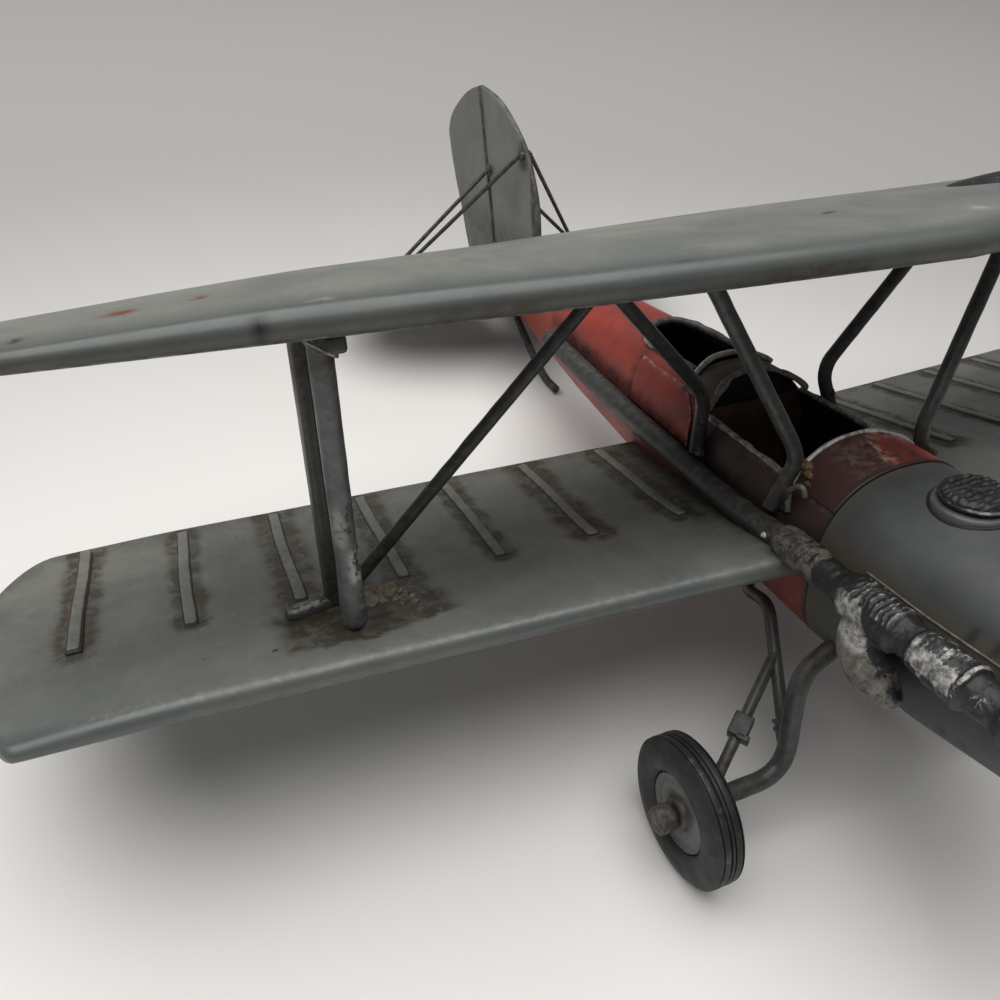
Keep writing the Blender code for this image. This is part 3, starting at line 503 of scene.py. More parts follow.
def smooth_points(anchors, pieces=6):
    """An open Catmull-Rom curve through points of any dimension."""
    padded = [anchors[0], *anchors, anchors[-1]]
    curve = []
    for a, b, c, d in zip(padded, padded[1:], padded[2:], padded[3:]):
        for i in range(pieces):
            t = i / pieces
            curve.append(tuple(
                0.5 * (2 * q + (r - p) * t + (2 * p - 5 * q + 4 * r - s) * t * t
                       + (3 * q - p - 3 * r + s) * t ** 3)
                for p, q, r, s in zip(a, b, c, d)))
    curve.append(tuple(anchors[-1]))
    return curve


def rounded_path(corners, bend, pieces=8):
    """Corners, each inner one replaced by an arc that starts bend before it."""
    corners = [Vector(c) for c in corners]
    path = [corners[0]]
    for before, corner, after in zip(corners, corners[1:], corners[2:]):
        reach_in = min(bend, (corner - before).length * 0.45)
        reach_out = min(bend, (after - corner).length * 0.45)
        start = corner + (before - corner).normalized() * reach_in
        end = corner + (after - corner).normalized() * reach_out
        for i in range(pieces + 1):
            t = i / pieces
            path.append(start * (1 - t) ** 2 + corner * 2 * t * (1 - t) + end * t ** 2)
    path.append(corners[-1])
    return path


def evened(path, step):
    """The same path with a point about every step."""
    out = [Vector(path[0])]
    for first, second in zip(path, path[1:]):
        first, second = Vector(first), Vector(second)
        count = max(1, round((second - first).length / step))
        out += [first.lerp(second, (i + 1) / count) for i in range(count)]
    return out


def squared(angle, power):
    """Cosine and sine of an angle; a power above 2 draws the circle out towards a square."""
    return [math.copysign(abs(c) ** (2 / power), c) for c in (math.cos(angle), math.sin(angle))]


def rod(path, radius, sides=24, wobble=0.0, seed=0, flat=1.0, facing=None, square=2.0):
    """A hand-bent bar along points in metres, as a bmesh.

    The radius may be a rule of the share along it; flat thins it in the direction of facing.
    """
    bm = bmesh.new()
    count = len(path)
    normal = facing
    layers = []
    for index, place in enumerate(path):
        along = (path[min(index + 1, count - 1)] - path[max(index - 1, 0)]).normalized()
        if normal is None:
            normal = along.orthogonal().normalized()
        normal = (normal - along * normal.dot(along)).normalized()
        side = along.cross(normal)
        size = radius(index / (count - 1)) if callable(radius) else radius
        ring = []
        for i in range(sides):
            across, up = squared(2 * math.pi * i / sides, square)
            out = normal * across * flat + side * up
            spot = place + out * size * MM
            if wobble:
                spot += out * rough(spot, 4, seed) * wobble * MM
            ring.append(bm.verts.new(spot))
        layers.append(ring)
    bridge(bm, layers)
    ends = ((layers[0], path[0], path[0] - path[1]), (layers[-1], path[-1], path[-1] - path[-2]))
    for ring, place, away in ends:
        middle = bm.verts.new(place + away.normalized() * (ring[0].co - place).length * 0.35)
        bridge(bm, [ring, [middle]])
    bmesh.ops.recalc_face_normals(bm, faces=bm.faces)
    return bm


def rod_piece(name, path, radius, material, stands_for=(), step=1.2, marks=None, feet=0.0, **shape):
    """A bar as a piece; wash gathers at both its ends over the length feet."""
    mesh = mesh_from(rod(evened(path, step * MM), radius, **shape), name)
    if feet:
        marks = {"grime_and_shade": joint_grime([path[0], path[-1]], feet), **marks}
    piece(name, mesh, material, stands_for=stands_for, marks=marks)


def lump(bm, place, size, seed, flat=(1, 1, 1)):
    """A bead of solder at a place in metres, added to bm."""
    for vert in bmesh.ops.create_icosphere(bm, subdivisions=4, radius=1.0)["verts"]:
        shape = Vector(vert.co)
        grow = 1 + 0.32 * rough(shape * 0.004, 2.2, seed) + 0.12 * rough(shape * 0.004, 0.8, seed + 3)
        vert.co = place + Vector([c * f for c, f in zip(shape, flat)]) * size * grow * MM


def lumps(name, spots, material=SOLDER):
    """Several beads as one piece; each spot is (place, size, flatness)."""
    bm = bmesh.new()
    for index, (place, size, flat) in enumerate(spots):
        lump(bm, place, size, index + len(name), flat)
    piece(name, mesh_from(bm, name), material)


def turned(profile, matrix, steps=64, wobble=0.0, seed=0):
    """A skin turned from (radius, height) pairs about local Z of matrix, as a bmesh."""
    bm = bmesh.new()
    layers = []
    for radius, height in profile:
        if radius < 1e-6:
            layers.append([bm.verts.new(Vector((0, 0, height)) * MM)])
            continue
        ring = []
        for i in range(steps):
            angle = 2 * math.pi * i / steps
            place = Vector((radius * math.cos(angle), radius * math.sin(angle), height)) * MM
            if wobble:
                out = Vector((math.cos(angle), math.sin(angle), 0))
                place += out * rough(place, 3.5, seed) * wobble * MM
            ring.append(bm.verts.new(place))
        layers.append(ring)
    bridge(bm, layers)
    bm.transform(matrix)
    return bm


def turned_piece(name, profile, matrix, material, body="airframe", stands_for=(), marks=None, **shape):
    mesh = mesh_from(turned(profile, matrix, **shape), name)
    piece(name, mesh, material, body, stands_for, marks)


def pillow(name, outline, thickness, matrix, rings=16):
    """A sheet with round edges from a closed outline in millimetres, thick along local Z of matrix."""
    half = thickness / 2
    middle = sum((Vector(p) for p in outline), Vector((0, 0))) / len(outline)
    bm = bmesh.new()

    def ring(inset, share, height):
        places = []
        for p in outline:
            away = Vector(p) - middle
            place = middle + away * ((away.length - inset) / away.length) * share
            places.append(bm.verts.new(Vector((place.x, place.y, height)) * MM))
        return places

    levels = [(half, i / rings, half) for i in range(1, rings)]
    for angle in range(90, -1, -18):
        turn = math.radians(angle)
        levels.append((half * (1 - math.cos(turn)), 1.0, half * math.sin(turn)))
    upper = [ring(*level) for level in levels]
    lower = [ring(inset, share, -height) for inset, share, height in levels[:-1]]
    hubs = [bm.verts.new(Vector((middle.x, middle.y, sign * half)) * MM) for sign in (1, -1)]
    for stack, hub in ((upper, hubs[0]), (lower + [upper[-1]], hubs[1])):
        bridge(bm, stack)
        bridge(bm, [[hub], stack[0]])
    return mesh_from(bm, name, matrix)


def joined(bms, name):
    """Several bmeshes as one mesh."""
    bm = bmesh.new()
    for part in bms:
        mesh = bpy.data.meshes.new("part")
        part.to_mesh(mesh)
        part.free()
        bm.from_mesh(mesh)
        bpy.data.meshes.remove(mesh)
    mesh = bpy.data.meshes.new(name)
    bm.to_mesh(mesh)
    bm.free()
    return mesh


def boxy(size, matrix, bevel, segments=3):
    """A box with rounded edges, sizes in millimetres, as a bmesh."""
    bm = bmesh.new()
    bmesh.ops.create_cube(bm, size=1.0, matrix=Matrix.Diagonal((*[s * MM for s in size], 1.0)))
    bmesh.ops.bevel(bm, geom=bm.edges[:], offset=bevel * MM, segments=segments, affect="EDGES", profile=0.5)
    bm.transform(matrix)
    return bm


# Body sections

def station(y):
    for low, high in zip(BODY_STATIONS, BODY_STATIONS[1:]):
        if low[0] <= y <= high[0]:
            share = (y - low[0]) / (high[0] - low[0])
            return [a + (b - a) * share for a, b in zip(low[1:], high[1:])]
    edge = BODY_STATIONS[0] if y < BODY_STATIONS[0][0] else BODY_STATIONS[-1]
    return list(edge[1:])


def body_ring(y, grow=0.0, segments=144):
    half, bottom, top, low_power = station(y)
    half += grow
    rise = (top - bottom) / 2 + grow
    middle = (top + bottom) / 2
    ring = []
    for i in range(segments):
        angle = 2 * math.pi * i / segments
        power = low_power if math.sin(angle) < 0 else min(low_power, TOP_SQUARENESS)
        across, up = squared(angle, power)
        ring.append((half * across, y, middle + rise * up))
    return ring


def body_rings(start, end, step, grow=0.0, segments=144):
    count = max(1, round((end - start) / step))
    return [body_ring(start + (end - start) * i / count, grow, segments) for i in range(count + 1)]


def surface_x(y, z):
    half, bottom, top, power = station(y)
    above = (z - (top + bottom) / 2) / ((top - bottom) / 2)
    if above > 0:
        power = min(power, TOP_SQUARENESS)
    return half * (1 - min(1.0, abs(above)) ** power) ** (1 / power)


def surface_z(x, y):
    half, bottom, top, power = station(y)
    power = min(power, TOP_SQUARENESS)
    share = min(1.0, abs(x) / half)
    return (top + bottom) / 2 + (top - bottom) / 2 * (1 - share ** power) ** (1 / power)


def rear_outline(pieces):
    front, centre = REAR_OPENING_Y
    half = REAR_OPENING_HALF
    turns = [math.pi * i / pieces for i in range(pieces + 1)]
    arc = [(half * math.cos(a), centre + half * math.sin(a)) for a in turns]
    return [(half, front), *arc, (-half, front)]


def cut_away(mesh, cutters):
    """The mesh with each closed cutter mesh taken out of it."""
    thing = linked("whole", mesh)
    tools = [linked("cutter", cutter) for cutter in cutters]
    for tool in tools:
        modifier = thing.modifiers.new("cut", "BOOLEAN")
        modifier.object = tool
        modifier.solver = "EXACT"
    graph = bpy.context.evaluated_depsgraph_get()
    result = bpy.data.meshes.new_from_object(thing.evaluated_get(graph))
    for used in [thing, *tools]:
        bpy.data.objects.remove(used, do_unlink=True)
    return result


def box_mesh(low, high, matrix):
    bm = bmesh.new()
    size = [(b - a) * MM for a, b in zip(low, high)]
    centre = Vector([(a + b) / 2 for a, b in zip(low, high)]) * MM
    place = Matrix.Translation(centre) @ Matrix.Diagonal((*size, 1.0))
    bmesh.ops.create_cube(bm, size=1.0, matrix=place)
    return mesh_from(bm, "box", matrix)


def body_grime_and_shade(place):
    """Wash gathers along the pipe and on the belly; the whole forward side is darkened as painted shade."""
    p = in_body(place)
    along_pipe = fade(abs(p.z - PIPE_Z), 3.5, 8.0)
    along_pipe *= smooth_step(abs(p.x), 8, 12) * fade(p.y, PIPE_AFT_Y, PIPE_AFT_Y + 14)
    belly = fade(p.z, -15, -6)
    # Painted shade: the forward side, turned from the light, is darkened.
    side = smooth_step(abs(p.x), 12, 17) * fade(p.y, -32, -25) * smooth_step(p.z, 4, 10)
    under = 0.45 * fade(p.y, -62, -40) * fade(p.z, 2, 8)
    step = fade(abs(p.y - 5 - 0.35 * (p.z - 22)), 0.5, 3.5)
    step *= smooth_step(abs(p.x), 9, 14)
    return 0.9 * along_pipe + 0.4 * belly + 0.5 * side + under + 0.75 * step + 0.08


def joint_nicks(low, high):
    """Bare metal in the paint just behind the cowling joint."""
    return lambda place: 1.6 * fade(in_body(place).y - COWL_JOINT_Y, low, high)


def make_fuselage():
    outer = loft("fuselage_skin", body_rings(COWL_JOINT_Y + 0.15, TAIL_POST_Y, 2.2), BODY)
    cutters = [
        box_mesh((-30, FRONT_OPENING_Y[0], FRONT_SILL_Z), (30, FRONT_OPENING_Y[1], 50), BODY),
        loft("front", body_rings(*FRONT_CAVITY_Y, 60, -SKIN, 72), BODY),
        loft("rear", body_rings(*REAR_CAVITY_Y, 60, -SKIN, 72), BODY),
        loft("hatch", [[(*p, z) for p in rear_outline(36)] for z in (18, 50)], BODY),
    ]
    mesh = cut_away(outer, cutters)
    mesh.materials.clear()
    for paint in (RED, HOLLOW, BULKHEAD, SHADED_RED):
        mesh.materials.append(paint)
    for face in mesh.polygons:
        p = in_body(face.center)
        half, bottom, top, low_power = station(p.y)
        power = low_power if p.z < (top + bottom) / 2 else min(low_power, TOP_SQUARENESS)
        inside = (abs(p.x) / half) ** power + (abs(p.z - (top + bottom) / 2) / ((top - bottom) / 2)) ** power
        pit = FRONT_CAVITY_Y[0] - 0.1 < p.y < REAR_CAVITY_Y[1] + 0.1
        if pit and inside < 0.965:
            face.material_index = 2 if abs(p.y - FRONT_CAVITY_Y[1]) < 0.2 else 1
        # Painted shade: the forward side above the pipe takes the darker copy of the red.
        elif p.y < -31.0 + 1.5 * rough(face.center, 5, 7) and p.z > 5:
            face.material_index = 3

    def sill_wear(place):
        p = in_body(place)
        near = fade(abs(p.z - FRONT_SILL_Z), 0.3, 1.6)
        return 0.6 * near if p.y < FRONT_OPENING_Y[1] else 0.0

    piece("fuselage_skin", mesh, RED, stands_for=["fuselage"], marks={
        "grime_and_shade": body_grime_and_shade, "nick_and_shade": joint_nicks(0.4, 2.0), "wear_and_highlight": sill_wear})
    for side, sign in SIDES.items():
        make_side_panel(side, sign)


def panel_front(up):
    """Y of the second sheet's worn front end, at a share of the sheet's height."""
    return -31.5 + 2.5 * up + 9.0 * max(0.0, (up - 0.35) / 0.65) ** 2.6


def make_side_panel(side, sign):
    """The second red sheet beside the rear cockpit, with its round, worn front end."""
    rows, columns = 26, 60
    grid = []
    for i in range(rows + 1):
        up = i / rows
        z = PANEL_LOW_Z + PANEL_HEIGHT * up
        front, back = panel_front(up), 2.0 + 3.0 * up
        line = [front + (back - front) * j / columns for j in range(columns + 1)]
        grid.append([body_point(sign * (surface_x(y, z) + 0.12), y, z) for y in line])

    def rim(place):
        p = in_body(place)
        up = min(1.0, max(0.0, (p.z - PANEL_LOW_Z) / PANEL_HEIGHT))
        return min(p.y - panel_front(up), PANEL_LOW_Z + PANEL_HEIGHT - p.z)

    mesh = sheet("side_panel", grid)
    panel = piece("side_panel_" + side, mesh, RED, marks={
        "wear_and_highlight": lambda p: fade(rim(p), 0.3, 1.3),
        "grime_and_shade": lambda p: 0.3 + 0.5 * fade(in_body(p).z, 15, 21) + 0.35 * rough(p, 8, 5)})
    faces_in = sum(face.normal.x * face.area for face in mesh.polygons) * sign < 0
    thicken(panel, 0.45, -1 if faces_in else 1)


def make_cowling():
    mesh = loft("cowling_skin", body_rings(NOSE_Y, COWL_JOINT_Y - 0.15, 1.8), BODY)

    def grime_and_shade(place):
        p = in_body(place)
        seam = smooth_step(p.z, 12, 17) * fade(p.z, SEAM_Z + 1.2, SEAM_Z + 4.0)
        joint = fade(abs(p.y - COWL_JOINT_Y), 0.3, 3.0) * 0.8
        aft = smooth_step(p.y, -112, -90) * smooth_step(-p.z, -27, -15) * 0.45
        low = fade(p.z, -16, -4)
        return 0.6 * seam + joint + aft + 0.3 * low + 0.04

    def nick_and_shade(place):
        p = in_body(place)
        spots = [(-8.2, -118.2, 0.9), (-11.5, -121.5, 0.7), (-20.4, -129.6, 1.3), (-19.8, -135.5, 1.1)]
        return max(1 - smooth_step(math.hypot(p.x - x, p.y - y), s * 0.4, s) for x, y, s in spots)

    piece("cowling_skin", mesh, GREY, stands_for=["cowling"], marks={"grime_and_shade": grime_and_shade, "nick_and_shade": nick_and_shade})
    for side, sign in SIDES.items():
        line = [-103 - 62 * i / 59 for i in range(60)]
        edge = [body_point(sign * (surface_x(y, SEAM_Z) + 0.12), y, SEAM_Z) for y in line]
        rod_piece("cowling_seam_" + side, edge, 0.27, SEAM, step=1.4, sides=8, wobble=0.08, seed=sign,
                  marks={"wear_and_highlight": 0.3, "grime_and_shade": 0.35})
    steps = [(15.2, 0.4), (15.2, 1.4), (13.6, 1.6), (13.4, 0.9), (6.0, 0.9), (5.6, 1.7), (3.4, 1.7),
             (3.2, 0.3)]
    turn = Matrix.Translation(body_point(0, NOSE_Y, PROP_Z)) @ BODY_TURN @ FORWARD
    turned_piece("nose_ring", rounded_path(steps, 0.3, 3), turn, GREY,
                 marks={"grime_and_shade": 0.5, "wear_and_highlight": 0.4})


def make_cockpit_trim():
    front_y, back_y = FRONT_OPENING_Y
    for side, sign in SIDES.items():
        line = [front_y + 1.2 + (back_y - front_y - 3.4) * i / 39 for i in range(40)]
        path = [body_point(sign * (surface_x(y, FRONT_SILL_Z) - 0.65), y, FRONT_SILL_Z + 0.45) for y in line]
        rod_piece("front_sill_" + side, path, 0.8, RIM, step=0.7, sides=14, wobble=0.4, seed=3 + sign,
                  marks={"wear_and_highlight": 0.55, "grime_and_shade": 0.45, "pale": 0.25})
    hoop_y = front_y + 0.2
    hoop = [(x, hoop_y, z) for x, z in [
        (-19.4, 23.6), (-17.6, 27.2), (-14.9, 30.2), (-11.3, 32.2), (-7.3, 33.4), (-2.8, 33.8), (2.0, 33.5),
        (6.9, 32.2), (10.4, 30.6), (14.0, 28.8), (17.2, 26.6), (19.2, 23.6)]]
    lifted = [body_point(x, y, max(z, surface_z(x, y) + 0.5)) for x, y, z in smooth_points(hoop)]
    rod_piece("front_coaming_hoop", lifted, 0.65, RIM, ["front_cockpit_rim"], step=0.6, sides=14,
              wobble=0.22, seed=9, marks={"wear_and_highlight": 0.75, "grime_and_shade": 0.2, "pale": 0.8})
    make_shroud(hoop)
    across = [-17.0 + 34.0 * i / 40 for i in range(41)]
    ledge = [body_point(x, deck_front(x), surface_z(x, deck_front(x)) + 0.7) for x in across]
    rod_piece("deck_front_bead", ledge, 0.95, TAN, step=0.6, sides=12, wobble=0.5, seed=13, flat=0.7,
              marks={"wear_and_highlight": 0.9, "grime_and_shade": 0.3, "pale": 0.25})

    def collar_pale(place):
        p = in_body(place)
        return 0.8 * fade(abs(p.y - 8), 1, 5) * smooth_step(-p.x, 4, 9)

    ring = [body_point(x, y, surface_z(x, y) + 0.8) for x, y in rear_outline(40)]
    rod_piece("rear_coaming_collar", ring, 1.25, DARK, ["rear_cockpit_rim"], step=0.8, sides=16, wobble=0.35,
              seed=15, marks={"wear_and_highlight": 0.45, "grime_and_shade": 0.5, "pale": collar_pale})
    across = [-13.6 + 27.2 * i / 30 for i in range(31)]
    hoop = [body_point(x, -16.6 - 3.6 * (x / 13.6) ** 2, surface_z(x, -18) + 1.9) for x in across]
    rod_piece("rear_coaming_hoop", hoop, 0.85, RIM, step=0.6, sides=14, wobble=0.15, seed=16,
              marks={"wear_and_highlight": 0.75, "pale": 0.9})
    across = [-16.0 + 32.0 * i / 60 for i in range(61)]
    rows = []
    for i in range(15):
        places = [(x, deck_front(x) + (DECK_BACK_Y - deck_front(x)) * i / 14) for x in across]
        rows.append([Vector((x, y, surface_z(x, y) + 0.2)) * MM for x, y in places])
    mesh = sheet("deck_panel", rows, BODY)
    # Painted shadow: the deck darkens towards its back edge, under the raised rear hoop.
    deck = piece("deck_panel", mesh, TAN, stands_for=["cockpit_deck_panel"], marks={
        "grime_and_shade": lambda p: 0.3 + 0.9 * smooth_step(in_body(p).y, -22.5, -19.5) + 0.3 * rough(p, 6, 2)})
    thicken(deck, 0.7, 1.0)


def deck_front(x):
    """Where the deck panel's front edge runs, curved forward at the sides."""
    return -27.2 - min(5.4, 3.8 * (x / 12) ** 2)


def make_shroud(hoop):
    """The red sheet that rises from the cowling joint to the front hoop, painted as shade in the darker copy
    of the red except past the fold on the port side.
    """
    rows = 24
    start, end = COWL_JOINT_Y + 0.25, FRONT_OPENING_Y[0] + 0.1
    grid = []
    for i in range(rows + 1):
        back = i / rows
        y = start + (end - start) * back
        line = []
        for x, _, z in smooth_points(hoop):
            low = surface_z(x, y) + 0.12
            rise = max(0.0, z - surface_z(x, FRONT_OPENING_Y[0]) - 0.12)
            line.append(body_point(x, y, low + rise * back ** 1.6))
        grid.append(line)

    def off_fold(p):
        return p.x + 1.0 - 0.2 * (p.y - FRONT_OPENING_Y[0])

    # The fold line is darkened as painted shade; the sheet is also darker low down.
    def grime_and_shade(place):
        p = in_body(place)
        fold = 0.9 * fade(abs(off_fold(p)), 0.4, 1.4)
        return (0.2 + 0.45 * fade(p.z, 24, 31) + 0.2 * rough(place, 7, 3) + fold
                + 0.5 * within(p.x, -1, 8, 3))

    # Painted sheen: a lighter patch starboard of the crest; the port side near the hoop is also lighter.
    def wear_and_highlight(place):
        p = in_body(place)
        port = 0.7 * smooth_step(p.y, -79, -74) * smooth_step(p.x, -2, 2)
        return port + 0.95 * within(p.x, -12, -1, 4) * within(p.y, -86, -74, 4)

    shroud = piece("front_shroud", sheet("front_shroud", grid), SHADED_RED, marks={
        "grime_and_shade": grime_and_shade, "nick_and_shade": joint_nicks(0.5, 1.6), "wear_and_highlight": wear_and_highlight})
    # Past the fold on the port side the sheet takes the plain red, as its lit side.
    shroud.data.materials.append(RED)
    for face in shroud.data.polygons:
        p = in_body(face.center)
        if off_fold(p) > 0.5 * rough(face.center, 3, 4) and p.z > 22:
            face.material_index = 1
    thicken(shroud, 0.4, 0.0)


def make_filler_cap():
    place = Matrix.Translation(body_point(0, CAP_Y, 0)) @ BODY_TURN
    base = [(0, 33.1), (7.9, 33.1), (8.35, 33.0), (8.75, 32.5), (8.8, 31.6), (8.8, 28.0)]
    turned_piece("filler_base", rounded_path(base, 0.3, 3), place, STRUT, stands_for=["filler_cap_base"],
                 steps=72, marks={"grime_and_shade": 0.15, "wear_and_highlight": 0.15})
    turns = [2 * math.pi * i / 80 for i in range(81)]
    foot = [(9.0 * math.cos(angle), CAP_Y + 9.0 * math.sin(angle)) for angle in turns]
    foot = [body_point(x, y, surface_z(x, y) + 0.05) for x, y in foot]
    rod_piece("filler_shadow_line", foot, 0.34, BLACK, step=0.5, sides=8, marks={"silver": 0.0})
    rim = [(0, 36.0), (3.0, 36.2), (5.2, 36.1), (6.3, 36.35), (7.0, 35.9), (7.5, 35.3), (7.35, 34.9),
           (7.75, 34.5), (7.6, 33.9), (7.3, 33.5), (0, 33.5)]
    bm = turned(evened(rounded_path(rim, 0.25, 3), 0.35), place, 120, 0.2, 5)
    up = BODY.to_3x3() @ Vector((0, 0, 1))
    for vert in bm.verts:
        p = in_body(vert.co)
        if p.z > 35.2:
            inner = smooth_step(math.hypot(p.x, p.y - CAP_Y), 1, 4)
            ripple = 0.16 * math.sin(p.y * 4.2 + 1.5 * rough(vert.co, 5, 6)) * inner
            vert.co += up * (0.3 * rough(vert.co, 1.8, 8) + ripple - 0.1) * MM

    def silver(place):
        p = in_body(place)
        radius = math.hypot(p.x, p.y - CAP_Y)
        # Painted highlight: the lip's silver is kept bright only towards the front.
        lip_highlight = fade(abs(p.z - 34.7), 0.15, 0.5) * smooth_step(radius, 6.8, 7.2)
        lip_highlight *= 0.15 + 0.85 * smooth_step(CAP_Y - p.y, 2.0, 5.0)
        fine = 0.5 * max(0.0, math.sin(p.y * 7.0 + 3 * rough(place, 4, 6))) * smooth_step(5.5 - radius, 0, 2)
        return 0.05 + lip_highlight + 0.25 * rough(place, 4, 3) + 0.12 * smooth_step(radius, 4, 6.4) + 0.6 * fine

    mesh = mesh_from(bm, "filler_top")
    piece("filler_top", mesh, BLACK, stands_for=["filler_cap"], marks={"silver": silver})


# Wings

def edge_at(edge, x):
    start, slope, curve = edge
    return start + slope * x + curve * x * x


def lower_edges(x):
    lead = edge_at(LOWER_LEAD, x) + max(0.0, x - LEAD_ROUND_X) ** 2 * LEAD_ROUNDING
    trail = edge_at(LOWER_TRAIL, x) - max(0.0, x - TRAIL_ROUND_X) ** 2 * TRAIL_ROUNDING
    return lead, trail


def upper_edges(x):
    lead, trail = edge_at(UPPER_LEAD, x), edge_at(UPPER_TRAIL, x)
    if x > UPPER_ROUND_X:
        share = (x - UPPER_ROUND_X) / (UPPER_TIP_X - UPPER_ROUND_X)
        close = 1 - math.sqrt(max(0.0, 1 - share ** 2.2))
        lead += (UPPER_TIP_Y - lead) * close
        trail += (UPPER_TIP_Y - trail) * close
    return lead, trail


def wing_section(edges, bottom, nose, top, under, thin, fine=7, arc=18):
    """The closed outline of a wing cut at one station, as (y, z) pairs from the nose over the top."""
    lead, trail = edges
    chord = trail - lead
    half = nose * thin / 2
    reach = min(half, chord * 0.45)
    section = []
    for i in range(arc):
        angle = math.radians(-90 - 180 * i / (arc - 1))
        section.append((lead + reach + reach * math.cos(angle), bottom + half + half * math.sin(angle)))
    crown = [section[-1]] + [(lead + chord * share, bottom + rise * thin) for share, rise in top]
    section += smooth_points(crown, fine)[1:]
    belly = [(lead + chord * share, bottom + rise * thin) for share, rise in under] + [section[0]]
    for (y0, z0), (y1, z1) in zip(belly, belly[1:]):
        section += [(y0 + (y1 - y0) * i / 10, z0 + (z1 - z0) * i / 10) for i in range(10)]
    return section


def upper_thickness(x):
    if x < 185:
        return 1.0 - 0.42 * max(0.0, (x - 120) / 65) ** 1.5
    return 0.58 - 0.28 * max(0.0, x - 196) / 18


def upper_section(x):
    thin = upper_thickness(x)
    return wing_section(upper_edges(x), UPPER_BOTTOM_Z, UPPER_NOSE, UPPER_TOP, UPPER_UNDER, thin)


def make_upper_wing():
    tip = UPPER_TIP_X - 0.5
    half_span = [tip * math.sin(math.pi / 2 * i / 110) for i in range(111)]
    rings = []
    for x in [-s for s in reversed(half_span[1:])] + half_span:
        rings.append([(x, y, z - 0.22 * (1 + rough(Vector((x, y, 0)) * MM, 26, 4))
                       * smooth_step(z, UPPER_BOTTOM_Z + 2, UPPER_BOTTOM_Z + 5))
                      for y, z in upper_section(abs(x))])
    mesh = loft("upper_wing_skin", rings, WING)

    def grime_and_shade(place):
        p = in_wing(place)
        lead, trail = upper_edges(abs(p.x))
        thin = upper_thickness(abs(p.x))
        high = (p.z - UPPER_BOTTOM_Z) / thin
        # The trailing edge and the noise blotches are wash; the nose and under terms are painted shade on
        # the lower nose and the underside.
        back = smooth_step(p.y, trail - 9, trail - 1) * 0.35
        nose = fade(high, 2.4, 5.0) * fade(p.y, lead + 3, lead + 6)
        under = 0.8 * fade(p.z, UPPER_BOTTOM_Z - 0.4, UPPER_BOTTOM_Z + 0.6)
        nose *= 0.4 + 0.6 * smooth_step(rough(place, 17, 15), -0.2, 0.5)
        return 0.08 + back + 0.8 * nose + under + 0.12 * rough(place, 22, 5)

    def nose_shade(place):
        p = in_wing(place)
        return 0.75 * fade(p.y - upper_edges(abs(p.x))[0], 1.0, 12.0)

    def spotted(spots, stretch=1.6):
        def rule(place):
            p = in_wing(place)
            if p.z < UPPER_BOTTOM_Z + 1.0:
                return 0.0
            return max(1 - smooth_step(math.hypot(p.x - x, (p.y - y) * stretch), size * 0.35, size)
                       for x, y, size in spots)
        return rule

    faint = spotted([(-128.9, -79.4, 2.0), (14.9, -88, 4.0), (60, -82, 3.0)], 1.2)

    # Painted highlight: a light line along the bottom of the leading edge.
    def edge_highlight(place):
        p = in_wing(place)
        lead = upper_edges(abs(p.x))[0]
        low = fade(p.z, UPPER_BOTTOM_Z + 0.2, UPPER_BOTTOM_Z + 1.0)
        return 0.85 * fade(abs(p.y - lead - 1.6), 0.4, 1.4) * low

    piece("upper_wing_skin", mesh, WING_GREY, stands_for=["upper_wing"], marks={
        "grime_and_shade": grime_and_shade, "wear_and_highlight": edge_highlight, "nose": nose_shade,
        "chip": spotted([(-160.6, -62.4, 4.2), (-147.0, -62.7, 2.6), (96, -70, 3.0), (158, -66, 3.2)]),
        "nick_and_shade": spotted([(-177.8, -66.7, 1.9), (-140.2, -81.6, 1.6), (-62, -92.5, 1.5), (-12.3, -72.4, 1.5),
                         (120, -84, 1.6)], 1.0),
        "pale": lambda p: 0.35 * faint(p)})


def lower_droop(x):
    return LOWER_DROOP * (x - LOWER_ROOT_X)


def lower_surface(x, y):
    lead, trail = lower_edges(x)
    share = (y - lead) / (trail - lead)
    bottom = LOWER_BOTTOM_Z - lower_droop(x)
    for (s0, z0), (s1, z1) in zip(LOWER_TOP, LOWER_TOP[1:]):
        if s0 <= share <= s1:
            return bottom + z0 + (z1 - z0) * (share - s0) / (s1 - s0)
    return bottom + LOWER_TOP[0][1]


def rib_frame(sign, index):
    """Place of a raised rib on the lower wing: local Y runs along it, in wing axes."""
    x = RIB_FIRST_X + RIB_PITCH * index
    trail = lower_edges(x)[1]
    high, low = (lower_surface(x, trail - at) for at in (RIB_LENGTH, RIB_START))
    middle = Vector((sign * (x + 1.6), trail - RIB_START - RIB_LENGTH / 2, (high + low) / 2))
    lean = Matrix.Rotation(sign * RIB_LEAN, 4, "Z")
    tilt = Matrix.Rotation(math.atan2(low - high, RIB_LENGTH - RIB_START), 4, "X")
    return Matrix.Translation(middle) @ lean @ tilt


def rib_grime(p, sign):
    """Brown wash round the raised ribs, at a place in wing axes."""
    worst = 0.0
    for index in range(RIB_COUNT):
        local = rib_frame(sign, index).inverted() @ p
        across = abs(local.x) - RIB_WIDTH / 2
        along = abs(local.y) - RIB_LENGTH / 2
        off = math.hypot(max(across, 0), max(along, 0))
        size = 3.2 + 0.8 * math.sin(index * 2.1) + 1.3 * rough(p * MM, 5, index)
        outer = 0.65 * smooth_step(off, size * 0.8, size * 1.5)
        worst = max(worst, 1.2 - smooth_step(off, 0.3, size) * 0.55 - outer)
    return worst


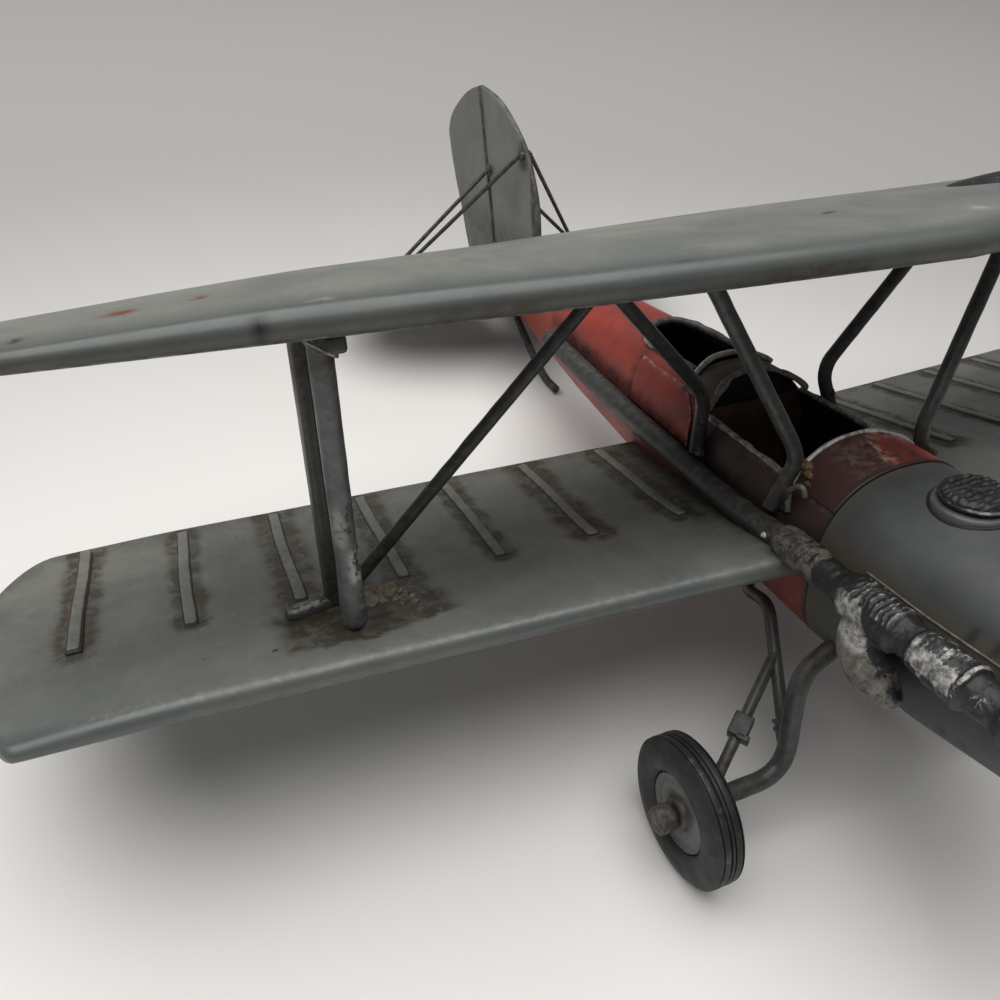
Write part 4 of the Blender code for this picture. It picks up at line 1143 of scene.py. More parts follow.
def make_lower_wing(side):
    sign = SIDES[side]
    count = 150
    rings = []
    for i in range(count + 1):
        share = i / count
        x = 12 + (LOWER_TIP_X - 12) * share
        thin = 1.0 if x < 160 else 1.0 - 0.4 * ((x - 160) / 46) ** 1.5
        section = wing_section(lower_edges(x), LOWER_BOTTOM_Z, LOWER_NOSE, LOWER_TOP, LOWER_UNDER, thin, 10)
        ring = []
        for y, z in section:
            spot = Matrix.Rotation(-INCIDENCE, 3, "X") @ Vector((0, y, z))
            root = surface_x(spot.y, spot.z) - 0.4
            place = root + (LOWER_TIP_X - root) * share
            dent = 0.16 * (1 + rough(Vector((place, y, 0)) * MM, 24, 6 + sign)) * smooth_step(z, -1.5, 0.5)
            ring.append((sign * place, y, z - dent - lower_droop(place)))
        rings.append(ring)
    mesh = loft("lower_wing_skin_" + side, rings, WING)

    def grime_and_shade(place):
        p = in_wing(place)
        x = abs(p.x)
        # The underside is darkened evenly, and the root is darkened as painted shadow of the pipe and body;
        # the strut foot, trailing edge, ribs and front band are wash.
        if p.z < -1.6 - lower_droop(x):
            return 0.3
        lead, trail = lower_edges(x)
        root = fade(x, 22, 44)
        edge = -71.5 + 2.2 * rough(place, 5, 9) + 1.3 * rough(place, 1.8, 4) + 0.1 * abs(x - 124)
        foot = smooth_step(p.y, edge - 0.6, edge + 0.9) * fade(p.y, -57, -42)
        foot *= fade(abs(x - 124 + 4 * rough(place, 7, 3)), 14, 22)
        back = smooth_step(p.y, trail - 8, trail) * 0.3
        band = smooth_step(p.y, lead + 8, lead + 30) * 0.22
        return (0.03 + 0.5 * root + 1.15 * foot + back + rib_grime(p, sign) + band
                + 0.12 * rough(place, 14, 7))

    # Painted highlight: a light line along the crest of the nose.
    def wear_and_highlight(place):
        p = in_wing(place)
        lead = lower_edges(abs(p.x))[0]
        edge = fade(abs(p.z - 2.0 + lower_droop(abs(p.x))), 0.2, 0.9)
        return 0.35 * edge * fade(p.y, lead + 2, lead + 7)

    def nose_shade(place):
        p = in_wing(place)
        lead = lower_edges(abs(p.x))[0]
        high = p.z + lower_droop(abs(p.x))
        return 0.6 * fade(high, 0.6, 2.4) * fade(p.y, lead + 2, lead + 7)

    piece("lower_wing_skin_" + side, mesh, WING_GREY, stands_for=["lower_wing_" + side],
          marks={"grime_and_shade": grime_and_shade, "wear_and_highlight": wear_and_highlight, "nose": nose_shade})
    rib_row("wing_rib_beds_" + side, sign, 0.9, -0.62, DARK, {"grime_and_shade": 0.8})
    rib_row("wing_ribs_" + side, sign, 0.0, 0.0, WING_GREY, {"grime_and_shade": strip_grime, "wear_and_highlight": 0.2})
    lumps("wing_nicks_" + side, [(wing_point(sign * x, y, z), 0.42, (1.7, 0.7, 0.5)) for x, y, z in [
        (157.3, -75.5, -0.5), (156.2, -75.7, -0.5), (145.8, -66.1, 1.35), (79.0, -82.0, 1.0)]], DARK)


def rib_row(name, sign, wider, sink, paint, marks):
    """The raised ribs of a lower wing, or wider strips of the same row sunk below their tops."""
    strips = []
    for index in range(RIB_COUNT):
        bm = boxy((RIB_WIDTH + wider, RIB_LENGTH + wider, 1.8), Matrix.Identity(4), 0.45, 3)
        bmesh.ops.bisect_plane(bm, geom=bm.verts[:] + bm.edges[:] + bm.faces[:], plane_co=(0, 0, -0.0003),
                               plane_no=(0, 0, 1), clear_inner=True)
        bmesh.ops.holes_fill(bm, edges=bm.edges)
        for cut in range(1, 26):
            at = (cut / 26 - 0.5) * RIB_LENGTH * MM
            bmesh.ops.bisect_plane(bm, geom=bm.verts[:] + bm.edges[:] + bm.faces[:], plane_co=(0, at, 0),
                                   plane_no=(0, 1, 0))
        place = rib_frame(sign, index)
        for vert in bm.verts:
            local = vert.co / MM
            spot = place @ Vector((local.x, local.y, 0))
            bow = 0.25 * math.sin(local.y * 0.11 + index)
            height = lower_surface(abs(spot.x), spot.y) - 0.26 + local.z + sink
            wander = 0.12 * rough(Vector((spot.x, spot.y, local.z)) * MM, 3, index)
            vert.co = WING @ (Vector((spot.x + bow + wander, spot.y, height + wander)) * MM)
        bmesh.ops.recalc_face_normals(bm, faces=bm.faces)
        strips.append(bm)
    piece(name, joined(strips, name), paint, marks=marks)


def strip_grime(place):
    p = in_wing(place)
    low = fade(p.z - lower_surface(abs(p.x), p.y), 0.1, 0.55)
    return 0.28 + 0.8 * low + 0.25 * rough(place, 7, 4)


# Struts

def joint_grime(ends, size):
    """Wash that gathers round given places, at the feet of struts."""
    def rule(place):
        near = min((place - end).length / MM for end in ends)
        return 0.12 + 0.8 * fade(near, size * 0.3, size)
    return rule


def make_interplane(side):
    sign = SIDES[side]
    under = UPPER_BOTTOM_Z - 0.1
    across = WING.to_3x3() @ Vector((1, 0, 0))
    up = WING.to_3x3() @ Vector((0, 0, 1))
    foot = wing_point(sign * FRONT_FOOT[0], FRONT_FOOT[1], lower_surface(128, -65) + 0.1)
    head = wing_point(sign * FRONT_HEAD[0], FRONT_HEAD[1], under)

    def club(share):
        near = min(1.0, share * 70 / 3.0)
        round_end = math.sqrt(max(0.02, 1 - (1 - near) ** 2))
        return (FRONT_STRUT_RADIUS + 0.4 * fade(share, 0.05, 0.3)) * round_end

    def pitted(place):
        p = in_wing(place)
        inner = smooth_step(128.3 - abs(p.x), -1.0, 0.6)
        return 0.5 * within(p.z, 14.5, 22.5, 3) * inner + 0.25 * within(p.z, 24, 33, 4) * (1 - inner)

    def lit_side(place):
        p = in_wing(place)
        return 0.25 + 0.6 * smooth_step(127.9 - abs(p.x), 0.2, 1.4) * fade(p.z, 6, 20)

    rod_piece("interplane_front_" + side, evened([foot, head], 0.5 * MM), club,
              STRUT, ["interplane_strut_front_" + side], sides=32, wobble=0.06, seed=sign + 20, step=0.5,
              marks={"grime_and_shade": joint_grime([head], 12), "wear_and_highlight": lit_side, "pale": pitted})
    noise.seed_set(7)
    pits = []
    for index in range(34):
        low = index < 24
        high = (15.0 + 7.5 * noise.random()) if low else (25.0 + 8.0 * noise.random())
        turn = (-0.2 - 1.0 * noise.random()) if low else (0.1 - 0.9 * noise.random())
        middle = foot.lerp(head, high / (UPPER_BOTTOM_Z - 0.5))
        out = WING.to_3x3() @ Vector((sign * math.sin(turn), -math.cos(turn), 0.0))
        pits.append((middle + out * (2.45 * MM), 0.2 + 0.16 * noise.random(), (1.0, 1.0, 1.2)))
    lumps("interplane_pits_" + side, pits, CABANE)
    rear_foot = wing_point(sign * REAR_FOOT[0], REAR_FOOT[1], lower_surface(129, -51) + 1.0)
    rear_head = wing_point(sign * REAR_HEAD[0], REAR_HEAD[1], under)
    rod_piece("interplane_rear_" + side, evened([rear_foot, rear_head], 1.5 * MM), 2.6, CABANE,
              ["interplane_strut_rear_" + side], sides=32, flat=0.62, facing=across, square=4.0, wobble=0.05,
              seed=sign + 24, feet=20, marks={"wear_and_highlight": 0.25})
    block = WING @ shift(sign * 127.8, -71.4, under - 1.8)
    piece("strut_head_bracket_" + side, joined([boxy((6.2, 16.4, 3.6), block, 0.9)], "bracket"), CABANE,
          marks={"wear_and_highlight": 0.2, "grime_and_shade": 0.3})
    collar = []
    for i in range(25):
        angle = math.pi * (0.15 + 1.0 * i / 24)
        x, y = 129.2 + 2.75 * math.cos(angle), -76.8 - 2.75 * math.sin(angle)
        collar.append(wing_point(sign * x, y, under - 2.4 + 1.9 * math.cos(angle)))
    rod_piece("strut_head_collar_" + side, collar, 0.34, RIM, step=0.4, sides=10, wobble=0.1, seed=37,
              marks={"wear_and_highlight": 0.5, "grime_and_shade": 0.3})
    strip = [(140.6, -53.0), (135, -52.3), (128.5, -50.8), (121.5, -53.2), (114.5, -57.0)]
    path = smooth_points([wing_point(sign * x, y, lower_surface(x, y) + 1.1) for x, y in strip], 8)

    def bar(share):
        return 1.9 - 1.0 * smooth_step(share, 0.5, 0.8) - 0.5 * fade(share, 0.0, 0.1)

    rod_piece("strut_foot_bar_" + side, path, bar, GREY, ["strut_foot_strip_" + side], sides=24, flat=0.8,
              facing=up, square=4.0, wobble=0.16, seed=31, step=0.6, marks={
                  "grime_and_shade": lambda p: 0.3 + 0.25 * rough(p, 5, 2),
                  "wear_and_highlight": lambda p: smooth_step(in_wing(p).z - lower_surface(128, in_wing(p).y), 1.5, 2.0)})
    brace_foot = wing_point(sign * BRACE_FOOT[0], BRACE_FOOT[1], lower_surface(122, -43) + 0.2)
    brace_head = wing_point(sign * BRACE_HEAD[0], BRACE_HEAD[1], under + 0.6)
    rod_piece("diagonal_brace_" + side + "_bar", evened([brace_foot, brace_head], 1.5 * MM), 1.6, CABANE,
              ["diagonal_brace_" + side], sides=20, wobble=0.08, seed=33, feet=30, marks={"wear_and_highlight": 0.3})
    spots = []
    for index, (x, y, size, wide, long) in enumerate([
            (121.8, -55.6, 2.4, 1.5, 1.1), (119.4, -55.2, 2.5, 1.4, 1.1), (117.2, -55.8, 2.1, 1.4, 1.1),
            (119.8, -52.4, 1.9, 1.5, 1.2), (121.4, -50.4, 1.8, 1.4, 1.3), (116.8, -52.6, 1.7, 1.5, 1.2),
            (114.9, -56.4, 1.5, 1.3, 1.2), (114.6, -58.8, 0.9, 1.4, 1.2), (113.0, -61.2, 0.6, 1.4, 1.2),
            (115.8, -60.6, 0.6, 1.3, 1.3), (112.4, -58.2, 0.6, 1.4, 1.3), (123.0, -47.4, 1.1, 1.3, 1.4),
            (124.6, -44.8, 0.9, 1.3, 1.3), (113.6, -54.0, 0.7, 1.6, 1.2), (133.5, -49.2, 0.8, 1.8, 1.1),
            (126.4, -58.6, 1.0, 1.5, 1.4)]):
        place = wing_point(sign * x, y, lower_surface(x, y) + 0.15)
        spots.append((place, size, (wide, long, 0.95 + 0.1 * (index % 3))))
    lumps("strut_solder_" + side, spots, TAN_SOLDER)
    turned_piece("strut_foot_hole_" + side, [(0, 0.12), (0.75, 0.12), (0.85, 0.0), (0.85, -0.4)],
                 WING @ shift(sign * 126.0, -43.9, lower_surface(126, -44)), BLACK, steps=24,
                 marks={"silver": 0.0})


def make_cabane(side):
    sign = SIDES[side]
    front = [(46.6, -62.6, 81.0), (19.2, -73.1, 31.3), (21.8, -72.2, 24), (24.4, -71.7, 17.6)]
    rear = [(61, -33.1, 77.2), (19.8, -34.6, 31.6), (22.3, -37.4, 21.5), (23.3, -38.2, 16.2)]
    for name, corners in (("front", front), ("rear", rear)):
        path = rounded_path([body_point(sign * x, y, z) for x, y, z in corners], 5 * MM)
        rod_piece(f"cabane_{name}_{side}", path, 1.92, CABANE, [f"cabane_strut_{name}_{side}"], sides=24,
                  wobble=0.08, seed=40 + sign, feet=16, marks={"wear_and_highlight": 0.3})
    if side == "starboard":
        make_cabane_hook(sign)
    lumps("cabane_solder_" + side, [
        (body_point(sign * 21.8, -37.2, 25.0), 1.2, (0.9, 1.4, 1.4)),
        (body_point(sign * 23.1, -38.6, 17.2), 1.6, (0.9, 1.5, 1.0))])
    tab = BODY @ shift(sign * 22.7, -73.8, 21.4) @ Matrix.Rotation(sign * 0.12, 4, "Y")
    piece("cabane_foot_tab_" + side, joined([boxy((1.3, 5.0, 7.0), tab, 0.35, 3)], "tab"), DARK,
          marks={"wear_and_highlight": 0.35, "grime_and_shade": 0.4})


def make_cabane_hook(sign):
    """The wire hook and the amber flux by the front strut's foot."""
    lumps("cabane_flux", [
        (body_point(sign * 16.9, -73.8, 28.6), 1.3, (1.0, 1.5, 1.1)),
        (body_point(sign * 17.6, -75.4, 27.4), 1.0, (1.0, 1.6, 1.0)),
        (body_point(sign * 18.0, -73.2, 28.8), 1.0, (1.1, 1.2, 1.1)),
        (body_point(sign * 18.6, -77.0, 25.9), 0.55, (1.0, 1.8, 1.0))], AMBER)
    hook = [(22.8, -76.4, 19.0), (22.6, -75.4, 24.0), (22.2, -77.6, 26.6), (21.8, -79.2, 26.6),
            (21.6, -80.0, 24.6)]
    hook = rounded_path([body_point(sign * x, y, z) for x, y, z in hook], 1.3 * MM)
    rod_piece("cabane_foot_hook", hook, 0.72, RIM, step=0.4, sides=14, wobble=0.12, seed=5,
              marks={"wear_and_highlight": 0.15, "grime_and_shade": 0.55})


# Exhaust

def make_exhaust(side):
    sign = SIDES[side]
    run = []
    for i in range(37):
        y = PIPE_AFT_Y - 4 * i
        rise = PIPE_RISE * max(0.0, PIPE_RISE_Y - y)
        run.append(body_point(sign * (surface_x(y, PIPE_Z) + 3.7), y, PIPE_Z + rise))
    # Painted shade and highlight: the pipe's lower half is darkened to near black, and its top lightened.
    rod_piece("exhaust_pipe_run_" + side, run, PIPE_RADIUS - 0.05, PIPE, ["exhaust_pipe_" + side], sides=36,
              step=1.4, wobble=0.1, seed=50, marks={
                  "grime_and_shade": lambda p: 0.2 + 0.5 * fade(in_body(p).z, PIPE_Z - 3, PIPE_Z + 1),
                  "nick_and_shade": lambda p: 0.8 * fade(in_body(p).z, PIPE_Z - 2.5, PIPE_Z + 1.5),
                  "wear_and_highlight": lambda p: 0.35 * smooth_step(in_body(p).z, PIPE_Z, PIPE_Z + 3)})
    make_manifold(side)
    bm = bmesh.new()
    lump(bm, body_point(sign * 29.9, -77.6, 14.6), 0.8, 4)
    piece("exhaust_rivet_" + side, mesh_from(bm, "rivet"), RIM, marks={"wear_and_highlight": 1.0, "pale": 0.4})


def fused(mesh):
    """Overlapping forms grown together and smoothed, as one casting."""
    thing = linked("casting", mesh)
    remesh = thing.modifiers.new("fuse", "REMESH")
    remesh.mode = "VOXEL"
    remesh.voxel_size = CAST_VOXEL * MM
    soften = thing.modifiers.new("soften", "SMOOTH")
    soften.iterations = 4
    graph = bpy.context.evaluated_depsgraph_get()
    cast = bpy.data.meshes.new_from_object(thing.evaluated_get(graph))
    bpy.data.objects.remove(thing, do_unlink=True)
    return cast


def make_manifold(side):
    sign = SIDES[side]
    middle_x = sign * (surface_x(-113, MANIFOLD_Z) + MANIFOLD_RADIUS + 0.3)
    centre = Matrix.Translation(body_point(middle_x, 0, MANIFOLD_Z)) @ BODY_TURN @ FORWARD
    profile = [(0, 158), (3.6, 158), (4.7, 156), (4.9, 148), (4.2, 146), (4.3, 140), (5.1, 138), (5.2, 130),
               (5.0, 127.5), (4.2, 126), (4.2, 122), (4.7, 121), (5.2, 119), (5.2, 107), (4.7, 104.5),
               (4.0, 103), (4.0, 97), (4.3, 96), (4.3, 84), (4.1, 82.3), (0, 82.3)]
    bank = turned(evened(profile, 0.6), centre, 56)
    drop = [(28.4, -110, 13), (28.7, -112.3, 8.8), (28.9, -114.8, 5), (29.0, -118.2, 1.8),
            (29.1, -124.2, -0.3)]
    drop = [Vector(p) for p in smooth_points([body_point(sign * x, y, z) for x, y, z in drop], 10)]
    sizes = (4.4, 6.3, 6.5, 5.1, 1.8)

    def girth(share):
        at = min(share * 4, 3.999)
        i = int(at)
        return sizes[i] + (sizes[i + 1] - sizes[i]) * (at - i)

    name = "exhaust_manifold_cast_" + side
    cast = fused(joined([bank, rod(drop, girth, 40)], name))

    def ridge(place):
        p = in_body(place)
        wander = 1.7 * rough(place, 5, 3) + 0.6 * rough(place, 1.8, 13) + 0.25 * (p.z - MANIFOLD_Z)
        line = math.sin(RIDGE_RATE * (p.y + wander)) * within(p.y, -120.5, -108, 1.5)
        line *= 0.75 + 0.5 * rough(place, 3.5, 21)
        high = p.z + 0.2 * (-114 - p.y) + 0.8 * rough(place, 3, 17)
        return line * smooth_step(high, MANIFOLD_Z + 0.4, MANIFOLD_Z + 2.4)

    for vert in cast.vertices:
        p = in_body(vert.co)
        low = fade(p.z, 9.5, 12.5)
        out = (vert.co - body_point(middle_x, p.y, MANIFOLD_Z - 8 * low)).normalized()
        ridges = 0.2 * ridge(vert.co)
        bands = ((-120.6, -119.4), (-126.2, -125.0), (-139.0, -137.6))
        collars = 0.45 * sum(within(p.y, *band, 0.4) for band in bands) * (1 - low)
        dents = (0.26 * rough(vert.co, 2.4, 5) + 0.14 * rough(vert.co, 1.0, 6)) * (1 - 0.6 * low)
        pit = 0.5 * fade(math.hypot(p.y + 111.5, p.z - 3.0), 0.5, 1.8)
        pit *= smooth_step(abs(p.x), 28, 31)
        vert.co += out * (dents + ridges + collars - pit - 0.15) * MM

    def silver(place):
        p = in_body(place)
        y = p.y + 0.8 * rough(place, 3, 12)
        top = smooth_step(p.z + 0.9 * rough(place, 4, 31), MANIFOLD_Z + 1.6, MANIFOLD_Z + 3.4)
        sleeve = within(y, -97, -80, 1.0) * 0.7
        swell = within(y, -119.5, -105, 0.8) * (0.95 - 0.8 * top + 0.6 * max(0.0, ridge(place)))
        swell *= 1 - 0.9 * smooth_step(-p.y - 0.5 * (MANIFOLD_Z - p.z), 112.5, 115.5) * (1 - top)
        bulge = 0.42 + 0.6 * within(p.z, MANIFOLD_Z - 0.5, MANIFOLD_Z + 3.5, 1.5)
        bulge *= within(y, -137, -125.8, 0.8)
        tail = within(y, -165, -137.2, 0.8) * (0.05 + 0.3 * within(p.z, MANIFOLD_Z, MANIFOLD_Z + 3.0, 1.5))
        collars = 0.9 * (within(p.y, -120.6, -119.4, 0.3) + within(p.y, -138.8, -137.8, 0.3)) * top
        cast_side = smooth_step(p.y - 0.85 * (p.z - 8), -120.2, -118.2)
        drip = fade(p.z, 8.5, 11.5) * cast_side * 0.72
        return max(sleeve, swell, bulge, tail, collars, drip) + 0.34 * rough(place, 2.6, 8)

    def groove(place):
        p = in_body(place)
        joints = within(p.y, -126.0, -119.8, 1.0) + within(p.y, -105.8, -98.5, 1.0)
        return max(0.95 * smooth_step(-ridge(place), 0.0, 0.6), 0.8 * joints * smooth_step(p.z, 9, 12))

    def tan(place):
        p = in_body(place)
        low = fade(p.z, 8.0, 11.0)
        return max(within(p.y, -98, -80, 1.0), 0.8 * low, 0.15 * within(p.y, -119.5, -105, 1.0))

    piece(name, cast, BLACK, stands_for=["exhaust_manifold_" + side],
          marks={"silver": silver, "tan": tan, "groove": groove}, crease=60)


# Landing gear

def pointing(place, along):
    """Axes at a place in metres, with local Z along a direction."""
    return Matrix.Translation(place) @ along.normalized().to_track_quat("Z", "X").to_matrix().to_4x4()


def make_gear(side):
    sign = SIDES[side]
    inner = AXLE[0] - TYRE_WIDTH / 2
    leg = [(inner - 1.6, -95.4, -54.1), (33, -95.4, -54.1), (30.5, -95.4, -25.5), (21.0, -95.4, -21.0)]
    rear = [(13.0, -55.7, -20.4), (20.0, -60.1, -22.5), (21.0, -71.5, -21.3), (29.2, -90.3, -46.1)]
    leg, rear = ([wing_point(sign * x, y, z) for x, y, z in corners] for corners in (leg, rear))
    top, foot = wing_point(sign * 24.3, -79.1, -31.1), wing_point(sign * 50, -92.0, -50.6)
    for name, node, path, radius, sides, wobble, seed, reach in (
            ("gear_leg_bar_", "gear_leg_", rounded_path(leg, 9 * MM, 12), 2.4, 32, 0.06, 60, 14),
            ("gear_rear_bar_", "gear_strut_rear_", rounded_path(rear, 4 * MM, 6), 1.7, 24, 0.06, 62, 12),
            ("gear_shock_bar_", "gear_shock_strut_", evened([top, foot], MM), 1.5, 24, 0.05, 64, 9)):
        rod_piece(name + side, path, radius, CABANE, [node + side], sides=sides, wobble=wobble, seed=seed,
                  feet=reach, marks={"wear_and_highlight": 0.25})
    spot = pointing(top.lerp(foot, 0.62), foot - top)
    ear = spot @ shift(0.4, -1.6, 2.6)
    collar = [boxy((5.4, 5.0, 6.2), spot, 0.45), boxy((4.6, 3.4, 1.6), ear, 0.3, 2)]
    piece("gear_shock_collar_" + side, joined(collar, "collar"), DARK, marks={"wear_and_highlight": 0.3, "grime_and_shade": 0.35})
    down = wing_point(sign * 29.4, -90.6, -46.5) - wing_point(sign * 21.0, -71.5, -21.3)
    tab = pointing(wing_point(sign * 29.0, -90.2, -46.4), down)
    notches = [boxy((2.6, 4.0, 5.6), tab, 0.35, 2)]
    for low in (-2.6, -0.6):
        notches.append(boxy((3.0, 4.6, 1.1), tab @ shift(-0.4, 0, low), 0.25, 2))
    piece("gear_foot_tab_" + side, joined(notches, "tab"), DARK, marks={"wear_and_highlight": 0.35, "grime_and_shade": 0.5})


def make_wheel(side):
    sign = SIDES[side]
    hub = wing_point(sign * AXLE[0], AXLE[1], AXLE[2])
    turn = Matrix.Translation(hub) @ Matrix.Rotation(sign * math.pi / 2, 4, "Y")
    half = TYRE_WIDTH / 2
    rim = HUB_RADIUS + 0.25
    body = "wheel_" + side

    def outward(place):
        return sign * (place - hub).x / MM

    def radial(place):
        return math.hypot((place - hub).y, (place - hub).z) / MM

    # Distances in from the tyre's side: first out from the rim, then in from the tread
    shoulder = [(0.0, 1.5), (0.5, 0.8), (1.4, 0.25), (3.0, 0.0)]
    tread = [(3.8, 0.05), (2.2, 0.45), (1.0, 1.0), (0.3, 1.5), (0.05, 1.75), (0.5, 1.9), (0.5, 2.15),
             (0.02, 2.3), (0.0, 3.6), (0.5, 3.8), (0.5, 4.05), (0.01, 4.2)]
    crown = [(rim + r, half - z) for r, z in shoulder] + [(TYRE_RADIUS - r, half - z) for r, z in tread]
    whole = smooth_points(crown, 4)
    whole += [(r, -z) for r, z in reversed(whole)]
    turned_piece("tyre_rubber_" + side, whole + whole[:1], turn, TYRE, body, ["tyre_" + side], steps=120,
                 marks={"wear_and_highlight": lambda p: 0.55 * within(outward(p), half - 3.6, half - 2.2, 0.5) + 0.15,
                        "grime_and_shade": lambda p: fade(radial(p), rim, rim + 2.5)})
    bore = AXLE_PIN_RADIUS + 0.3
    face = [(bore, 0.6), (3.6, 0.6), (4.1, 0.9), (4.5, 1.9), (7.2, 1.7), (HUB_RADIUS - 1.2, 2.1),
            (HUB_RADIUS - 0.2, 1.4), (HUB_RADIUS, 1.8)]
    back = [(HUB_RADIUS, 1.8), (HUB_RADIUS - 0.6, 1.4), (5, 1.9), (bore, 1.9)]
    disc = rounded_path([(r, half - z) for r, z in face] + [(r, z - half) for r, z in back], 0.35, 4)

    # Painted shade in the recess round the axle, and wash by the rim.
    def face_shade_and_wash(place):
        far = radial(place)
        return 1.2 * fade(far, 4.4, 5.4) + 0.3 * smooth_step(far, 9.0, 9.9)

    turned_piece("wheel_face_" + side, disc + disc[:1], turn, STRUT, body, ["wheel_disc_" + side], steps=96,
                 marks={"grime_and_shade": face_shade_and_wash, "wear_and_highlight": 0.15})
    cap = [(0, half + 5.7), (2.4, half + 5.6), (3.5, half + 4.8), (3.7, half + 2.4), (3.5, half + 0.45),
           (AXLE_PIN_RADIUS, half + 0.3), (AXLE_PIN_RADIUS, -half - 1.3), (0, -half - 1.3)]
    bm = turned(rounded_path(cap, 0.4, 3), turn, 48)
    long_edges = [edge for edge in bm.edges if edge.calc_length() > 0.5 * MM]
    bmesh.ops.subdivide_edges(bm, edges=long_edges, cuts=1, use_grid_fill=True)
    for vert in bm.verts:
        if outward(vert.co) > half + 0.4:
            vert.co += (vert.co - hub).normalized() * (0.45 * rough(vert.co, 2.0, 7) - 0.35) * MM
    piece("axle_end_" + side, mesh_from(bm, "axle_end"), SOLDER, stands_for=["axle_" + side])


def make_skid():
    y, z = SKID_FOOT
    corners = [(0, 137.5, -0.6), (0, 130, -7), (0, 112, -19), (0, y + 4, z + 2.2), (0, y - 6, z + 1.8)]
    path = rounded_path([body_point(*c) for c in corners], 6 * MM, 8)
    rod_piece("tail_skid_bar", path, 1.6, DARK, ["tail_skid"], sides=20, wobble=0.0, seed=70,
              feet=14, marks={"wear_and_highlight": 0.5})


# Tail

def hinge_y(z):
    return HINGE_FOOT[0] + (z - HINGE_FOOT[1]) * HINGE_RAKE


def dense(outline, step=1.2):
    """A closed outline with a point about every step."""
    return evened([*outline, outline[0]], step)[:-1]


def sheet_piece(name, node, outline, matrix, grime_and_shade, wear_and_highlight):
    mesh = pillow(name, dense(outline), TAIL_THICKNESS, matrix)
    piece(name, mesh, TAIL_GREY, stands_for=[node], marks={"grime_and_shade": grime_and_shade, "wear_and_highlight": wear_and_highlight})


def make_tail():
    upright = BODY @ Matrix.Rotation(math.pi / 2, 4, "Z") @ FORWARD
    crown = smooth_points([(108, 24), (109, 33.3), (111.5, 48.4), (121.6, 65.1), (137.6, 75.8),
                           (150.4, 80.8), (hinge_y(83.1) - 0.25, 83.1)], 8)
    fin = crown + [(hinge_y(18.5) - 0.25, 18.5), (118, 20.5)]
    back = smooth_points([(hinge_y(83.1) + 0.25, 83.1), (181.9, 78.6), (198.2, 69), (203.9, 61.5),
                          (203.6, 55.1), (198.3, 40.4), (191.8, 28.1), (184.2, 12.3), (177, 4), (166, 0.5),
                          (157.6, 2.6)], 8)
    rudder = back + [(hinge_y(5) + 6.8, 5), (hinge_y(18) + 2.2, 18)]

    def hinge_dirt(place):
        p = in_body(place)
        off = abs(p.y - hinge_y(p.z))
        root = fade(p.z, 24, 40)
        post = fade(p.y - 109 - 0.1 * (p.z - 24), 3.4, 4.6) * fade(p.z, 56, 64)
        blob = fade(math.hypot(p.y - 122, p.z - 63), 3.0, 8.0)
        flat = TAIL_THICKNESS * MM / 2 - abs(place.x)
        rim = smooth_step(flat, 0.05 * MM, 0.5 * MM) * 0.8
        return (0.06 + 1.6 * fade(off, 1.1, 2.6) + 0.4 * root + 1.5 * post + blob + rim
                + 0.1 * rough(place, 12, 3))

    sheet_piece("fin_sheet", "fin", fin, upright, hinge_dirt, 0.05)
    sheet_piece("rudder_sheet", "rudder", rudder, upright, hinge_dirt, 0.05)
    for side in SIDES:
        make_tailplane(side)


def make_tailplane(side):
    """The level sheets of one side, with the stays that hold them."""
    sign = SIDES[side]
    front = smooth_points([(8.2, 109.6), (30, 114), (58, 124), (71, 134), (75.5, 149.6)], 8) + [(4.6, 149.6)]
    rear = smooth_points([(75.5, 150.3), (71, 163), (56, 173), (34, 177), (14, 173), (6.5, 164)], 8)
    rear += [(5.5, 150.3)]

    def flat_dirt(place):
        p = in_body(place)
        off = abs(p.y - 149.95)
        root = fade(abs(p.x), 6, 18)
        return 0.15 + 0.8 * fade(off, 0.8, 3.0) + 0.4 * root + 0.1 * rough(place, 12, 4)

    level = BODY @ shift(0, 0, TAILPLANE_Z)
    for name, outline in (("tailplane", front), ("elevator", rear)):
        sheet_piece(f"{name}_sheet_{side}", f"{name}_{side}", [(sign * x, y) for x, y in outline], level,
                    flat_dirt, 0.15)
    deck = TAILPLANE_Z + 1.1
    for name, start, end in (("rear", (156, 51.2), (43, 163)), ("front", (123.4, 63.0), (41.5, 158.5))):
        first, last = body_point(sign * 2.2, *start), body_point(sign * end[0], end[1], deck + 1.1)
        rod_piece(f"tail_stay_{name}_{side}_wire", evened([first, last], MM), 0.85, CABANE,
                  [f"tail_stay_{name}_{side}"], sides=12, wobble=0.08, seed=80,
                  marks={"wear_and_highlight": 0.45, "grime_and_shade": 0.3})
    lumps("tail_solder_" + side, [
        (body_point(sign * 1.6, 156, 51.0), 1.7, (0.8, 1.5, 1.2)),
        (body_point(sign * 1.5, 123.4, 62.8), 1.5, (0.8, 1.4, 1.2)),
        (body_point(sign * 42.4, 162.2, deck + 0.4), 1.5, (1.4, 1.2, 0.7)),
        (body_point(sign * 40.8, 157.6, deck + 0.4), 1.4, (1.4, 1.1, 0.7))])


# Propeller

